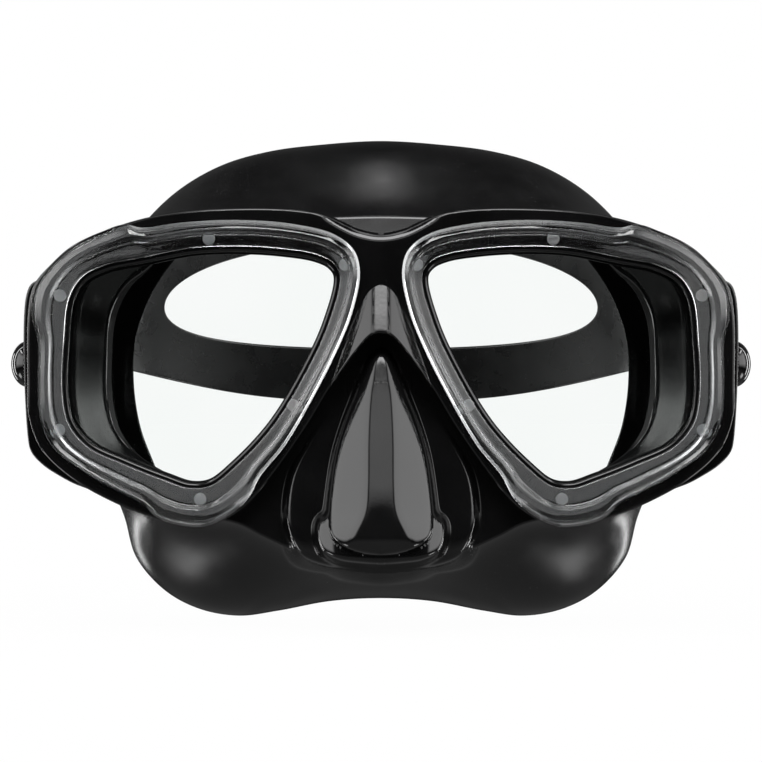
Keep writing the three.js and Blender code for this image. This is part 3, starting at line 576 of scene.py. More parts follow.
def bridge_tongue():
    """The tongue: columns of points from its upper edge down to the nose notch."""
    x = np.linspace(-TONGUE_REACH, TONGUE_REACH, 201)
    outline = mirrored_curve(FRAME_EDGE_HALF, 2400)
    notch = outline[(np.abs(outline[:, 0]) < 16) & (outline[:, 1] < 13)]
    notch = notch[np.argsort(notch[:, 0])]
    edge = np.array(smooth_rows(TONGUE_EDGE_HALF, 8))
    bottom = np.interp(x, notch[:, 0], notch[:, 1])
    top = np.maximum(np.interp(np.abs(x), edge[:, 0], edge[:, 1]), bottom + 0.05)
    toward_bottom = 1 - np.geomspace(0.11, 0.001, 12)
    share = np.concatenate([[0, 0.01, 0.03], np.linspace(0.07, 0.86, 16), toward_bottom, [1]])
    z = top[:, None] + (bottom - top)[:, None] * share
    across = x[:, None] + 0 * z
    below = TONGUE_EDGE_HALF[0][1] - z
    aside = bend(np.abs(across) - TONGUE_MIDDLE, 0.1)
    middle_rise = TONGUE_SLOPE * below - TONGUE_SIDE_SLOPE * aside
    flank_rise = FLANK_SLOPE * (below - FLANK_FALL * aside ** FLANK_CURVE)
    rise = np.maximum(middle_rise, flank_rise)
    inset = np.clip(TONGUE_EDGE_RADIUS - distance_to(notch, across, z), 0, None)
    rounding = TONGUE_EDGE_RADIUS - np.sqrt(TONGUE_EDGE_RADIUS ** 2 - inset ** 2)
    depth = np.minimum(rounding - TONGUE_SUNK - rise, TONGUE_DEEPEST)
    front = np.stack([across, depth, z], axis=2)
    back = np.stack([across, TONGUE_BACK + 0 * z, z], axis=2)
    points, faces = loops_skin(np.concatenate([front, back[:, ::-1]], axis=1))
    return shade(add_mesh("tongue", lean(points), faces), 40)


def bridge_relief(points):
    """Rounds the brow of the bridge back."""
    x, depth, z = points.T
    middle = (np.abs(x) < 17) & (z > 20)
    rounded = points.copy()
    x, depth, z = x[middle], depth[middle], z[middle]
    edge = distance_to(mirrored_curve(FRAME_EDGE_HALF, 1400), x, z)
    inset = np.clip(BROW_RADIUS - edge, 0, BROW_RADIUS)
    brow = 0.8 * (BROW_RADIUS - np.sqrt(BROW_RADIUS ** 2 - inset ** 2))
    brow *= smoothstep((z - 24) / 4) * smoothstep((17 - np.abs(x)) / 8)
    rounded[middle, 1] += brow * np.clip(1 - depth / 3, 0, 1)
    return rounded


def frame_arm(side):
    """An arm behind the frame's outer end, with the stud that carries the buckle."""
    y, z = PIVOT[1], PIVOT[2]
    ear = [*arc(y, z, 9, -math.pi / 2, math.pi / 2, 40), (-29.5, z + 9), (-29.5, z - 9)]
    pieces = [
        prism("ear", [ear], 78.5, 81.7, "x", 0.5),
        prism("web", [rectangle(-31.4, -28.9, -6, 14, 0.8)], 78.5, 85.3, "x", 0.4),
        prism("wall", [rectangle(-38, -28.9, -6, 14, 1.0)], 83.5, 85.3, "x", 0.5)]
    for rod_name, radius, low, high in (("stud", 3.0, 81, 86.15), ("peg", 1.5, 85, 89)):
        pieces.append(shifted(rod(rod_name, radius, low, high, "x"), 0, y, z))
    return on_that_side(side, gathered("arm", pieces))


def main_frame():
    """The rigid frame: one plate with two lens openings, seats for the glass and the skirt's flange
    cut from behind, the tongue over the nose and two side arms."""
    outline = mirrored_curve(FRAME_EDGE_HALF, 700)
    ledges = [on_side(side, grown(OPENING, -LEDGE_SHOWING)) for _, side in SIDES]
    body = flat_solid("frame", [outline, *ledges], 0, FRAME_DEPTH, 0.7)
    rear_corner = closed_curve(REAR_CORNER, 160)
    corners = [flat_solid("corner", [on_side(side, rear_corner)], RIM_DEPTH - 1, FRAME_DEPTH, 0.5)
               for _, side in SIDES]
    flange = grown(mirrored_curve(FLANGE_EDGE_HALF, 500), GAP)
    rooms = [flat_solid("room", [flange], RIM_DEPTH, FRAME_DEPTH + 1)]
    for _, side in SIDES:
        glass = on_side(side, grown(OPENING, GLASS_OVERLAP + GAP))
        rooms.append(flat_solid("room", [glass], LEDGE_THICKNESS, FRAME_DEPTH + 1))
    combine(body, corners, "UNION")
    combine(body, rooms, "DIFFERENCE")
    sliced(body, 0, np.arange(-16.8, 17, RELIEF_STEP))
    sliced(body, 2, np.arange(21, 41, RELIEF_STEP))
    reshaped(body, bridge_relief)
    reshaped(body, lean)
    shade(body)
    arms = [frame_arm(side) for _, side in SIDES]
    return gathered("look_main_frame", [body, bridge_tongue(), *arms])


# ---- skirt

SPOKES = 720  # points in each row round the skirt
FLANGE_RADIUS = polar(mirrored_curve(FLANGE_EDGE_HALF, 900), (0, 0))
NECK_RADIUS = polar(mirrored_curve(NECK_EDGE_HALF, 900), (0, 0))
REAR_EDGE = mirrored_curve(REAR_EDGE_HALF, 900)
REAR_RADIUS = polar(REAR_EDGE[:, [0, 2]], (0, 0))
REAR_Y = polar(REAR_EDGE[:, [0, 2]], (0, 0), REAR_EDGE[:, 1])

# The nose pocket, the lip round its bottom and the shoulder that they grow out of: each has an
# outline, and the y of its front at some heights.
POCKET_EDGE_HALF = [
    (0, 7.2), (2.2, 5.9), (4.2, 1.5), (6.2, -3.5), (8.6, -9.4), (11, -17.2), (12.3, -25.2),
    (12.9, -33), (12.4, -36.4), (10.4, -38.8), (5.8, -40.8), (0, -41.6)]
LIP_EDGE_HALF = [
    (0, -20), (11, -24), (13.1, -32), (14.9, -33.6), (15.4, -35.2), (15.1, -38.2), (13.7, -40.9),
    (9.8, -42.7), (5, -43.4), (0, -43.7)]
SHOULDER_EDGE_HALF = [
    (0, 9), (5, 7), (11, -4), (17.5, -14), (21.6, -22), (22.9, -29), (22.6, -35.5), (19.5, -42),
    (13.8, -44.7), (6, -46), (0, -46.3)]
POCKET_FRONT = [
    (10, -50.1), (7, -50.75), (3, -51.65), (-4, -53.2), (-13, -55.15), (-20, -56.6), (-26, -57.8),
    (-31, -58.65), (-35, -59.1), (-38, -58.9), (-42, -57.2)]
LIP_FRONT = [
    (-20, -50), (-33, -53.6), (-36, -54.1), (-40, -54.7), (-42, -54.8), (-44, -54.4)]
SHOULDER_FRONT = [
    (9, -42), (-8, -43.2), (-22, -44.0), (-30, -44.3), (-37, -44.2), (-42, -43.4), (-47, -42)]

# Half width of the pocket's flat middle strip at some heights, and how fast the cheeks beside it
# fall back.
POCKET_STRIP = [
    (8, 0.7), (5, 1.6), (-4, 2.8), (-14, 3.3), (-25, 3.4), (-31, 4.0), (-36, 6.4), (-42, 10)]
POCKET_CHEEK_SLOPE = 0.72

BROW_STEP_LOW = 33.0
BROW_STEP_SLOPE = 0.31


def at_height(z, levels):
    """A value at each height, on a smooth curve through a few levels."""
    fine = np.array(smooth_rows(np.array(levels, float)[::-1], 12))
    return np.interp(z, fine[:, 0], fine[:, 1])


def nose_front(x, z):
    """The y of the nose pocket with its lip and shoulder."""
    out = np.abs(x)

    def fall(edge_half, slope, softness):
        loop = mirrored_curve(edge_half, 420)
        return slope * bend(outside_of(loop, x, z) + softness, softness)

    strip = at_height(z, POCKET_STRIP)
    cheek = 0.012 * np.minimum(out, strip) ** 2 + POCKET_CHEEK_SLOPE * bend(out - strip, 0.7)
    pocket = at_height(z, POCKET_FRONT) + cheek + fall(POCKET_EDGE_HALF, 6, 0.35)
    lip = at_height(z, LIP_FRONT) + 0.004 * out ** 2 + 0.35 * bend(out - 11.3, 0.8)
    lip += fall(LIP_EDGE_HALF, 5, 0.35)
    shoulder = at_height(z, SHOULDER_FRONT) + fall(SHOULDER_EDGE_HALF, 4, 0.4)
    shoulder += 5 * bend(-46 - z, 1.0)
    return nearer(shoulder, nearer(lip, pocket, 0.4), 2.0)


def nearer(a, b, blend):
    """The nearer to the camera of two surfaces, with a fillet where they meet."""
    share = np.clip(0.5 + 0.5 * (b - a) / blend, 0, 1)
    return b * (1 - share) + a * share - blend * share * (1 - share)


def brow_step(x, z):
    """How far the flange's front lies back between the brows, where it shows above the frame."""
    return BROW_STEP_SLOPE * bend(z - BROW_STEP_LOW, 1.0) * smoothstep((25 - np.abs(x)) / 5)


def seal_width(angle):
    """Width of the inward-turned seal: wider at the top, over the brow."""
    from_top = np.abs(np.arctan2(np.cos(angle), np.sin(angle)))
    share = smoothstep((BROW_SEAL_ANGLE - from_top) / BROW_SEAL_ANGLE)
    return SEAL_WIDTH + share * (BROW_SEAL_WIDTH - SEAL_WIDTH)


def rim_section(seal):
    """Round the rear rim and the seal: how far in from the rear edge, and y from it."""
    middle = 0.45 * seal + 2.5
    return [(0, -3), (0.3, -1.1), (1.4, 0), (3, 0.8), (5, 1.2), (middle, 0.8),
            (seal - 0.5, -0.9), (seal, -1.3), (seal - 0.5, -1.6),
            (middle, -0.4), (5.2, 0), (3.4, -0.8), (SKIRT_WALL, -3)]


def smooth_rows(rows, steps=5):
    """More rows between rows of points, on smooth curves."""
    rows = np.asarray(rows)
    padded = np.concatenate([2 * rows[:1] - rows[1:2], rows, 2 * rows[-1:] - rows[-2:-1]])
    made = []
    for i in range(len(rows) - 1):
        p0, p1, p2, p3 = padded[i:i + 4]
        for t in np.arange(steps) / steps:
            made.append(p1 + 0.5 * t * (p2 - p0 + t * (
                2 * p0 - 5 * p1 + 4 * p2 - p3 + t * (3 * (p1 - p2) + p3 - p0))))
    return [*made, rows[-1]]


def skirt_shell():
    """The skirt's skin as rows of points, each row once round the mask: the front of the flange,
    the wall out to the face, the seal turned inwards, and back along the inside."""
    turn = np.linspace(0, 2 * math.pi, SPOKES, endpoint=False)
    angle = turn - 0.62 * np.sin(turn) - math.pi / 2
    flange, neck = FLANGE_RADIUS(angle), NECK_RADIUS(angle)
    rear, rear_y = REAR_RADIUS(angle), REAR_Y(angle)
    seal = seal_width(angle)

    def at(radius, y):
        return np.stack([radius * np.cos(angle), y + 0 * angle, radius * np.sin(angle)], axis=1)

    def on_slope(radius, depth):
        return at(radius, front_face(radius * np.cos(angle), radius * np.sin(angle)) + depth)

    def on_front(radius, depth):
        rows = on_slope(radius, depth)
        rows[:, 1] += brow_step(rows[:, 0], rows[:, 2])
        return rows

    neck_y = on_slope(neck, NECK_DEPTH)[:, 1]

    def wall(share, inset):
        flare = 0.6 * smoothstep(share) + 0.4 * share
        return at(neck + flare * (rear - neck) - inset, neck_y + share * (rear_y - 3 - neck_y))

    outside = [on_front(share * (flange - 0.5), FLANGE_FRONT)
               for share in np.linspace(0.01, 1, 110)]
    outside += [on_front(flange - 0.15, FLANGE_FRONT + 0.15), on_front(flange, FLANGE_FRONT + 0.5),
                on_slope(flange, FLANGE_BACK - 0.8), on_slope(flange - 0.3, FLANGE_BACK - 0.2),
                on_slope(flange - 0.9, FLANGE_BACK),
                on_slope((flange + neck) / 2, FLANGE_BACK + 0.2)]
    outside += [wall(share, 0) for share in np.linspace(0, 1, 44)]
    rim = smooth_rows([at(rear - inwards, rear_y + back) for inwards, back in rim_section(seal)])
    temple = TEMPLE_FOLD * smoothstep((np.abs(np.cos(angle)) - 0.8) / 0.12)

    def inner_wall(share):
        fold = smoothstep((share - 0.05) / 0.11) * smoothstep((0.95 - share) / 0.6)
        return wall(share, SKIRT_WALL + fold * temple)

    inside = [inner_wall(share)
              for share in [*np.linspace(1, 0.2, 34)[1:], *np.linspace(0.18, 0.04, 15)]]
    inside += [on_slope(share * (neck - SKIRT_WALL - 1), FLANGE_FRONT + SKIRT_WALL)
               for share in np.linspace(1, 0.01, 90)]
    return np.array(outside), np.array(rim[1:-1]), np.array(inside)


def skirt():
    """The skirt with its nose pocket raised out of the flange and its two lens windows cut."""
    outside, rim, inside = skirt_shell()
    for rows, wall in ((outside, 0.0), (inside, SKIRT_WALL)):
        x, z = rows[:, :, 0], rows[:, :, 2]
        near = (np.abs(x) < 30) & (z < 14) & (z > -53)
        x, z = x[near], z[near]
        rows[near, 1] = nearer(rows[near, 1], nose_front(x, z) + wall, 2.5)
    points, faces = loops_skin(np.concatenate([outside, rim, inside]))
    thing = add_mesh("look_skirt", points, faces)
    windows = []
    for _, side in SIDES:
        loop = on_side(side, grown(OPENING, -WINDOW_INSET))
        window = flat_solid("window", [loop], FLANGE_FRONT - 2, FLANGE_FRONT + SKIRT_WALL + 3)
        windows.append(reshaped(window, lean_side))
    combine(thing, windows, "DIFFERENCE")
    return shade(thing, 50)


# ---- strap and buckles, in their own plane

STRAP_TILT = math.radians(9.3)
LEVER_X = 87.2
LEVER_Y = 21.0
LEVER_HALF_LENGTH = 9.5
PIN_HALF_LENGTH = 12.0
RAIL_INNER_Z = 10.1
RAIL_OUTER_Z = 12.3


def in_strap_plane(points):
    """Turns points drawn in the strap's plane about the swivel axis into the mask's frame."""
    x, y, z = points.T
    c, s = math.cos(STRAP_TILT), math.sin(STRAP_TILT)
    return np.stack([x, PIVOT[1] + y * c - z * s, PIVOT[2] + y * s + z * c], axis=1)


def placed(thing, side=1):
    """Puts a piece drawn in the strap's plane, for the wearer's left, in its place."""
    return on_that_side(side, reshaped(thing, in_strap_plane))


def strap_line():
    """Middle line of the strap as (x, y, half height), from the left tail to the right tail."""
    reach = ROLLER_RADIUS + GAP + STRAP_THICKNESS / 2
    tail_x = STRAP_X + STRAP_THICKNESS + 0.5
    end = STRAP_END_HALF_HEIGHT
    line = [(tail_x, y, end) for y in (TAIL_END_Y, 50, 42, 34, 30)]
    line += [(tail_x + 0.5, 26.5, end), (83.25, 22, end), (84.4, 18, end)]
    line += [(x, y, end) for x, y in arc(ROLLER_X, ROLLER_Y, reach, 0.25, -math.pi, 12)]
    line += [(STRAP_X, y, end) for y in (20, 30, 42)]
    for angle in np.linspace(0, math.pi / 2, 25):
        widening = smoothstep(angle / WIDENING_END)
        line.append((STRAP_X * math.cos(angle),
                     STRAP_STRAIGHT_Y + STRAP_LOOP_DEPTH * math.sin(angle),
                     end + widening * (STRAP_BACK_HALF_HEIGHT - end)))
    line = smooth_rows(np.array(line), 4)
    return np.array(line + [(-x, y, half) for x, y, half in line[-2::-1]])


def strap():
    """The strap drawn flat, as length and height, then wrapped along its line."""
    line = strap_line()
    run = run_along(line[:, :2])
    along = unit(np.gradient(line[:, :2], run, axis=0))
    total = run[-1]
    s = np.linspace(0, total, 360)
    half = np.interp(s, run, line[:, 2])
    end_round = 3.0
    from_end = np.minimum(s, total - s)
    half = half - end_round + np.sqrt(np.maximum(
        0, end_round ** 2 - np.maximum(0, end_round - from_end) ** 2))
    outline = [*zip(s, half), *zip(s[::-1], -half[::-1])]
    way_back = slice(len(line) // 4, len(line) // 2 + 1)  # on one side, where y only grows
    split_start = np.interp(STRAP_STRAIGHT_Y + STRAP_LOOP_DEPTH * math.sin(SPLIT_START),
                            line[way_back, 1], run[way_back])
    split_half_length = total / 2 - split_start
    split = [(total / 2 + split_half_length * math.cos(t), SPLIT_BACK_HALF_HEIGHT * math.sin(t))
             for t in np.linspace(0, 2 * math.pi, 200, endpoint=False)]
    thick = STRAP_THICKNESS / 2
    band = flat_solid("look_strap", [outline, split], -thick, thick, 0.45, 3)
    sliced(band, 0, np.arange(1.0, total, 1.4))

    def wrapped(points):
        s, depth, height = points.T
        x, y = np.interp(s, run, line[:, 0]), np.interp(s, run, line[:, 1])
        tx, ty = np.interp(s, run, along[:, 0]), np.interp(s, run, along[:, 1])
        return np.stack([x + depth * ty, y - depth * tx, height], axis=1)

    return shade(placed(weld(reshaped(band, wrapped))), 50)


def keeper(name, side):
    """A band round the strap and its tail."""
    low = STRAP_X - STRAP_THICKNESS / 2 - 0.4
    high = STRAP_X + STRAP_THICKNESS * 1.5 + 0.9
    half = STRAP_END_HALF_HEIGHT + 0.5
    outer = rectangle(low - 1.2, high + 1.2, -half - 1.2, half + 1.2, 1.8)
    inner = rectangle(low, high, -half, half, 0.7)
    band = prism(f"look_strap_keeper_{name}", [outer, inner], 38, 45, "y", 0.45)
    return placed(band, side)


def swivel_cap(name, side):
    """A domed cap with a stepped rim."""
    profile = [(1.8, 86.3), (6.1, 86.3), (6.37, 86.4), (6.45, 86.6), (6.45, 87.0), (6.33, 87.2),
               (5.75, 87.3)]
    for angle in np.linspace(0.12, math.pi / 2 - 0.02, 22):
        profile.append((5.75 * math.cos(angle), 87.25 + 4.25 * math.sin(angle)))
    return placed(turned(f"look_swivel_cap_{name}", profile, "x", 96), side)


def buckle_body(name, side):
    """A hub on the frame's stud, a web, two rails with the lever between them, and a bar."""
    hub_profile = [(3.2, 82), (7.1, 82), (7.5, 82.4), (7.5, 85.6), (7.1, 86), (3.2, 86)]
    hub = turned("hub", hub_profile, "x", 96)
    web = prism("web", [rectangle(82, 86, 4, 8.7, 0.6)], -RAIL_OUTER_Z, RAIL_OUTER_Z, "z", 0.4)
    rail = [(82, 5.4), (86, 5.4), (88.9, 19.6), *arc(LEVER_X, LEVER_Y, 2, -0.4, 1.2),
            (84.6, 26.4), (80.6, 26.4), (79, 22), (79, 12)]
    rails = [prism("rail", [rail], low, low + RAIL_OUTER_Z - RAIL_INNER_Z, "z", 0.4)
             for low in (RAIL_INNER_Z, -RAIL_OUTER_Z)]
    reach = RAIL_INNER_Z + 1
    bar = prism("bar", [rectangle(80.8, 82, 20.4, 23.6, 0.4)], -reach, reach, "z", 0.2)
    return placed(gathered(f"look_buckle_body_{name}", [hub, web, *rails, bar]), side)


def strap_roller(name, side):
    roller = rod(f"look_strap_roller_{name}", ROLLER_RADIUS, -9.8, 9.8, "z", 0.5)
    return placed(shifted(roller, ROLLER_X, ROLLER_Y), side)


def roller_pin(name, side):
    pin = rod(f"look_roller_pin_{name}", 0.9, -PIN_HALF_LENGTH, PIN_HALF_LENGTH, "z", 0.2)
    return placed(shifted(pin, ROLLER_X, ROLLER_Y), side)


def lever_pin(name, side):
    pin = rod(f"look_lever_pin_{name}", 0.7, -PIN_HALF_LENGTH, PIN_HALF_LENGTH, "z", 0.2)
    return placed(shifted(pin, LEVER_X, LEVER_Y), side)


def release_lever(name, side):
    """Two barrels on the lever pin, a nose that bites the strap's tail, and a curved thumb tab."""
    half = LEVER_HALF_LENGTH
    nose = [(86.4, 19.9), (87.2, 22), (85.2, 21.4), (84.9, 20.6), (85.1, 20.1)]
    pieces = []
    for low, high in ((-half, -2.4), (2.4, half)):
        pieces.append(shifted(rod("barrel", 1.7, low, high, "z", 0.3), LEVER_X, LEVER_Y))
        pieces.append(prism("nose", [nose], low, high, "z", 0.15))
    rise = np.linspace(0, 1, 12)
    front = [(88.7 + 1.5 * t * t, 21.6 + 11 * t) for t in rise]
    back = [(86.7 + 2.1 * t * t, 21.6 + 11.8 * t) for t in rise[::-1]]
    pieces.append(prism("tab", [[*front, *back]], -8, 8, "z", 0.45))
    return placed(gathered(f"look_release_lever_{name}", pieces), side)


def lever_spring(name, side):
    """A torsion spring round the lever pin, with two straight legs."""
    radius, half, turns = 1.25, 1.6, 3
    points = [(LEVER_X - radius, LEVER_Y + 6.5, -half)]
    for share in np.linspace(0, 1, 90):
        angle = math.pi + share * 2 * math.pi * turns
        points.append((LEVER_X + radius * math.cos(angle), LEVER_Y + radius * math.sin(angle),
                       half * (2 * share - 1)))
    points.append((LEVER_X - radius, LEVER_Y - 5, half))
    points = np.array(points)
    along = unit(np.gradient(points, axis=0))
    side_way = unit(np.cross(along, (0, 0, 1)))
    up = np.cross(side_way, along)
    turn = np.linspace(0, 2 * math.pi, 12, endpoint=False)[None, :, None]
    loops = points[:, None] + 0.22 * (np.cos(turn) * side_way[:, None] + np.sin(turn) * up[:, None])
    skin_points, faces = loops_skin(loops)
    return placed(add_mesh(f"look_lever_spring_{name}", skin_points, faces), side)


# ---- materials

def connect(tree, socket, value):
    """Links a socket from another one, or sets its value."""
    if isinstance(value, bpy.types.NodeSocket):
        tree.links.new(value, socket)
    else:
        socket.default_value = value


def node(tree, kind, inputs=None, **settings):
    """Adds a node, and sets its inputs to values or links them from sockets."""
    made = tree.nodes.new(kind)
    for name, value in settings.items():
        setattr(made, name, value)
    for name, value in (inputs or {}).items():
        connect(tree, made.inputs[name], value)
    return made


def new_material(name):
    """A material with its node tree, its shader, and the place on the object in metres."""
    material = bpy.data.materials.new(name)
    material.use_nodes = True
    tree = material.node_tree
    place = node(tree, "ShaderNodeTexCoord").outputs["Object"]
    return material, tree, tree.nodes["Principled BSDF"], place


def noise(tree, place, size_mm, detail=2.0, distortion=0.0):
    """Soft noise whose patches are about one size across."""
    made = node(tree, "ShaderNodeTexNoise", {
        "Vector": place, "Scale": 1000 / size_mm, "Detail": detail, "Distortion": distortion})
    return made.outputs["Fac"]


def ranged(tree, value, low, high, from_low=0.3, from_high=0.7):
    made = node(tree, "ShaderNodeMapRange", {
        "Value": value, "From Min": from_low, "From Max": from_high, "To Min": low, "To Max": high})
    return made.outputs["Result"]


def feed(tree, shader, **inputs):
    """Links or sets the shader's inputs; an underscore in a name stands for a space."""
    for name, value in inputs.items():
        connect(tree, shader.inputs[name.replace("_", " ")], value)


def mixed(tree, share, low, high):
    """A colour between two, by a share."""
    made = node(tree, "ShaderNodeMix", {"Factor": share}, data_type="RGBA")
    for socket, value in ((made.inputs[6], low), (made.inputs[7], high)):
        connect(tree, socket, (*value, 1) if isinstance(value, tuple) else value)
    return made.outputs[2]


def computed(tree, operation, *values):
    """An arithmetic node's result."""
    inputs = dict(enumerate(values))
    return node(tree, "ShaderNodeMath", inputs, operation=operation).outputs[0]


def bumped(tree, height, depth_mm, below=None):
    """The normal over a bump, which may lie on another bump."""
    inputs = {"Height": height, "Distance": depth_mm * MM, "Strength": 1.0}
    if below is not None:
        inputs["Normal"] = below
    return node(tree, "ShaderNodeBump", inputs).outputs["Normal"]


def grey(value):
    return (value, value, value * 1.03)


def moulded(name, dark, light, smooth, rough, grain_mm, grain_depth, dust=0.0):
    """Moulded black plastic or rubber: two close tones, uneven gloss, fine grain and some dust."""
    material, tree, shader, place = new_material(name)
    tone = mixed(tree, ranged(tree, noise(tree, place, 14, 3), 0, 1), grey(dark), grey(light))
    gloss = ranged(tree, noise(tree, place, 7, 4, 0.4), smooth, rough)
    if dust:
        specks = ranged(tree, noise(tree, place, 0.5, 1), 0, dust, 0.74, 0.78)
        patches = ranged(tree, noise(tree, place, 22, 2), 0, 1, 0.45, 0.62)
        tone = mixed(tree, computed(tree, "MULTIPLY", specks, patches), tone, grey(0.35))
    grain = bumped(tree, noise(tree, place, grain_mm, 2), grain_depth)
    waves = bumped(tree, noise(tree, place, 9, 1), 0.03, grain)
    feed(tree, shader, Base_Color=tone, Roughness=gloss, Normal=waves, IOR=1.48)
    return material


def clear_plastic(name, smooth, rough, clearness):
    """Clear polycarbonate, with faint flow marks and moulding ripples."""
    material, tree, shader, place = new_material(name)
    patches = ranged(tree, noise(tree, place, 10, 2), 0, 1)
    tone = mixed(tree, patches, (0.93, 0.95, 0.96), (0.99, 0.99, 0.99))
    ripples = bumped(tree, noise(tree, place, 6, 1, 0.3), 0.03)
    gloss = ranged(tree, noise(tree, place, 6, 3), smooth, rough)
    feed(tree, shader, Base_Color=tone, Roughness=gloss, Normal=ripples,
         Transmission_Weight=clearness, IOR=1.585)
    return material


def lens_glass():
    """Flat glass: what is behind shows straight through, under a Fresnel reflection."""
    material, tree, shader, place = new_material("lens_glass")
    patches = ranged(tree, noise(tree, place, 30, 1), 0, 1)
    tint = mixed(tree, patches, (0.975, 0.99, 0.982), (0.985, 0.995, 0.99))
    through = node(tree, "ShaderNodeBsdfTransparent", {"Color": tint}).outputs[0]
    smear = ranged(tree, noise(tree, place, 18, 3, 0.6), 0.0, 0.04)
    mirror = node(tree, "ShaderNodeBsdfGlossy", {"Roughness": smear}).outputs[0]
    fresnel = node(tree, "ShaderNodeFresnel", {"IOR": 1.5}).outputs[0]
    leaving = node(tree, "ShaderNodeNewGeometry").outputs["Backfacing"]
    share = node(tree, "ShaderNodeMix", {"Factor": leaving, "A": fresnel, "B": 0.0}).outputs[0]
    both = node(tree, "ShaderNodeMixShader", {0: share, 1: through, 2: mirror}).outputs[0]
    tree.nodes.remove(shader)
    tree.links.new(both, tree.nodes["Material Output"].inputs["Surface"])
    return material


def brushed_steel():
    """Steel with fine streaks along its length."""
    material, tree, shader, place = new_material("brushed_steel")
    stretched = node(tree, "ShaderNodeMapping", {"Vector": place, "Scale": (1, 1, 0.08)}).outputs[0]
    streaks = noise(tree, stretched, 0.25, 3)
    tone = mixed(tree, streaks, (0.42, 0.42, 0.43), (0.62, 0.62, 0.63))
    gloss = ranged(tree, streaks, 0.22, 0.4)
    feed(tree, shader, Base_Color=tone, Roughness=gloss, Normal=bumped(tree, streaks, 0.01),
         Metallic=1.0)
    return material


def painted(thing, *materials):
    thing.data.materials.clear()
    for material in materials:
        thing.data.materials.append(material)
    return thing


def painted_where(thing, material, other, is_other):
    """Paints with one material, and with another where a test of x, depth, z and normal says."""
    painted(thing, material, other)
    for face in thing.data.polygons:
        x, y, z = [c / MM for c in face.center]
        face.material_index = int(is_other(x, y - float(front_face(x, z)), z, face.normal))
    return thing


def on_outer_wall(x, depth, z, normal):
    outward = normal.x * x + normal.z * z > 0
    return depth > FLANGE_BACK - 0.6 and outward and normal.y < 0.5


def on_lower_rear_corner(x, depth, z, _):
    return depth > RIM_DEPTH - 0.9 and z < -8 and abs(x) > 60


# ---- assembly

def keep(thing, body):
    """Attaches a visible piece to the body that it rides on, and hides the CAD node that it
    replaces. Its name is "look_" and the name of that node."""
    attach(thing, body)
    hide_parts(thing.name.removeprefix("look_"))


def build():
    matte = moulded("matte_silicone", 0.002, 0.004, 0.20, 0.26, 0.35, 0.012, 0.2)
    polished = moulded("polished_silicone", 0.003, 0.005, 0.08, 0.14, 0.6, 0.003)
    strap_rubber = moulded("strap_silicone", 0.003, 0.005, 0.24, 0.32, 0.4, 0.02, 0.3)
    gloss = moulded("gloss_plastic", 0.002, 0.004, 0.05, 0.11, 0.8, 0.004)
    satin = moulded("satin_plastic", 0.005, 0.009, 0.26, 0.36, 0.3, 0.015)
    grained = moulded("grained_plastic", 0.02, 0.03, 0.4, 0.5, 0.25, 0.02)
    clear = clear_plastic("clear_polycarbonate", 0.01, 0.06, 1.0)
    frosted = clear_plastic("frosted_pads", 0.5, 0.7, 0.8)
    glass, steel = lens_glass(), brushed_steel()

    keep(painted_where(skirt(), polished, matte, on_outer_wall), "mask")
    keep(painted_where(main_frame(), gloss, grained, on_lower_rear_corner), "mask")
    keep(painted(strap(), strap_rubber), "buckle_left")
    for name, side in SIDES:
        buckle = f"buckle_{name}"
        keep(bezel(name, side, clear, frosted), "mask")
        for make, material, body, slot in (
                (lens, glass, "mask", "lens_glass"),
                (swivel_cap, gloss, "mask", "frame_plastic"),
                (buckle_body, satin, buckle, "buckle_plastic"),
                (strap_roller, satin, f"roller_{name}", "buckle_plastic"),
                (roller_pin, steel, buckle, "pin_steel"),
                (lever_pin, steel, buckle, "pin_steel"),
                (release_lever, satin, f"lever_{name}", "buckle_plastic"),
                (lever_spring, steel, buckle, "pin_steel"),
                (keeper, strap_rubber, f"keeper_{name}", "strap_silicone")):
            keep(painted(make(name, side), material), body)


# ---- studio

CAMERA_DISTANCE = 800.0  # to the frame's front
VIEW_WIDTH = 181.6  # what the camera sees across at that distance
STUDIO_DARK = 0.012


def camera():
    data = bpy.data.cameras.new("camera")
    data.sensor_width = 36
    data.lens = data.sensor_width * CAMERA_DISTANCE / VIEW_WIDTH
    data.clip_start = 0.05
    data.clip_end = 20
    thing = new_object("camera", data)
    thing.location = (0, (FRONT_Y - CAMERA_DISTANCE) * MM, 0)
    thing.rotation_euler = (math.pi / 2, 0, 0)
    bpy.context.scene.camera = thing


def panel(name, azimuth, elevation, distance, width, height, strength):
    """A soft panel light that faces the mask. Azimuth 0 is in front, 90 on the wearer's left."""
    data = bpy.data.lights.new(name, "AREA")
    data.shape = "RECTANGLE"
    data.size = width
    data.size_y = height
    data.energy = strength
    thing = new_object(name, data)
    a, e = math.radians(azimuth), math.radians(elevation)
    place = Vector((math.sin(a) * math.cos(e), -math.cos(a) * math.cos(e), math.sin(e))) * distance
    thing.location = place
    thing.rotation_euler = (-place).to_track_quat("-Z", "Y").to_euler()
    thing.visible_camera = False


def angle_band(tree, value, low, high, soft):
    """1 where an angle in degrees lies between two others, fading out softly."""
    low, high, soft = [math.radians(v) for v in (low, high, soft)]
    rise = ranged(tree, value, 0, 1, low - soft, low + soft)
    fall = ranged(tree, value, 1, 0, high - soft, high + soft)
    return computed(tree, "MULTIPLY", rise, fall)


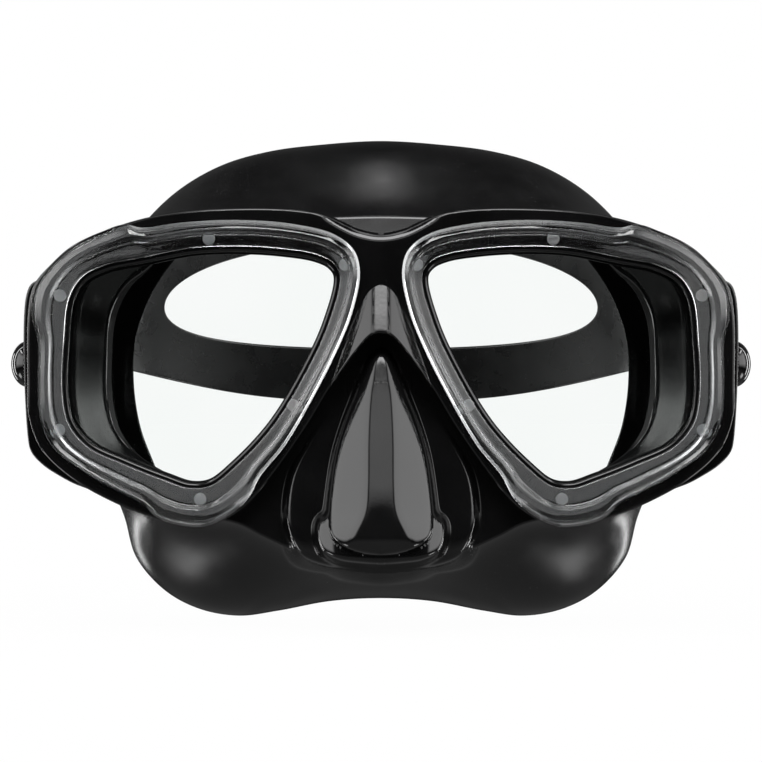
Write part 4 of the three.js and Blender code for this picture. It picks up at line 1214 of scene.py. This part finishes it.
# Soft panels all round the mask: how far round from the front, elevation and softness in degrees,
# and brightness.
PANELS = [
    ((-10, 22), (18, 27), 1.5, 1.8),
    ((-10, 24), (30, 55), 1.5, 10.0),
    ((34, 96), (-6, 38), 7.0, 3.6),
    ((76, 101), (-50, -33), 2.0, 5.5),
    ((60, 100), (44, 49), 1.5, 14.0),
    ((112, 117), (-25, 60), 0.8, 12.0),
    ((136, 141), (-25, 14), 0.8, 8.0),
    ((-10, 100), (62, 80), 3.0, 2.2),
    ((175, 181), (66, 73), 1.5, 5.5),
    ((130, 181), (-15, 40), 8.0, 0.06),
    ((-10, 181), (-91, -28), 8.0, 0.22)]


def world():
    """White behind the object, and soft panels with dark between them to shine on it."""
    scene = bpy.context.scene
    scene.world = bpy.data.worlds.new("studio")
    scene.world.use_nodes = True
    tree = scene.world.node_tree
    background = tree.nodes["Background"]
    direction = node(tree, "ShaderNodeTexCoord").outputs["Generated"]
    x, y, z = node(tree, "ShaderNodeSeparateXYZ", {0: direction}).outputs
    forward = computed(tree, "MULTIPLY", y, -1.0)
    around = computed(tree, "ABSOLUTE", computed(tree, "ARCTAN2", x, forward))
    elevation = computed(tree, "ARCSINE", z)
    shine = STUDIO_DARK
    for (near, far), (low, high), soft, strength in PANELS:
        across = angle_band(tree, around, near, far, soft)
        up = angle_band(tree, elevation, low, high, soft)
        patch = computed(tree, "MULTIPLY", across, up)
        shine = computed(tree, "MULTIPLY_ADD", patch, strength, shine)
    path = node(tree, "ShaderNodeLightPath")
    behind = ranged(tree, y, 0, 1, 0.45, 0.75)
    through = computed(tree, "MULTIPLY", path.outputs["Is Transmission Ray"], behind)
    seen = computed(tree, "MAXIMUM", path.outputs["Is Camera Ray"], through)
    tree.links.new(mixed(tree, seen, shine, (1, 1, 1)), background.inputs["Color"])


def floor():
    """A pale floor that is as bright as the white behind it."""
    mesh = bpy.data.meshes.new("floor")
    reach, z = 4.0, CAD_BOX[0][2] - 0.002
    corners = [(-reach, -reach, z), (reach, -reach, z), (reach, reach, z), (-reach, reach, z)]
    mesh.from_pydata(corners, [], [(0, 1, 2, 3)])
    thing = new_object("floor", mesh)
    material, tree, shader, place = new_material("floor_paper")
    tone = mixed(tree, noise(tree, place, 400, 2), (0.010, 0.010, 0.010), (0.012, 0.012, 0.012))
    feed(tree, shader, Base_Color=tone, Roughness=0.9, Specular_IOR_Level=0.0,
         Emission_Color=(1, 1, 1, 1), Emission_Strength=0.98)
    painted(thing, material)
    thing.visible_glossy = False
    thing.visible_diffuse = False


def studio():
    camera()
    world()
    floor()
    panel("top_left", -40, 70, 1.5, 0.4, 0.4, 0.4)
    panel("top_right", 40, 70, 1.5, 0.4, 0.4, 0.4)
    bpy.context.scene.view_settings.view_transform = "Standard"


build()
studio()
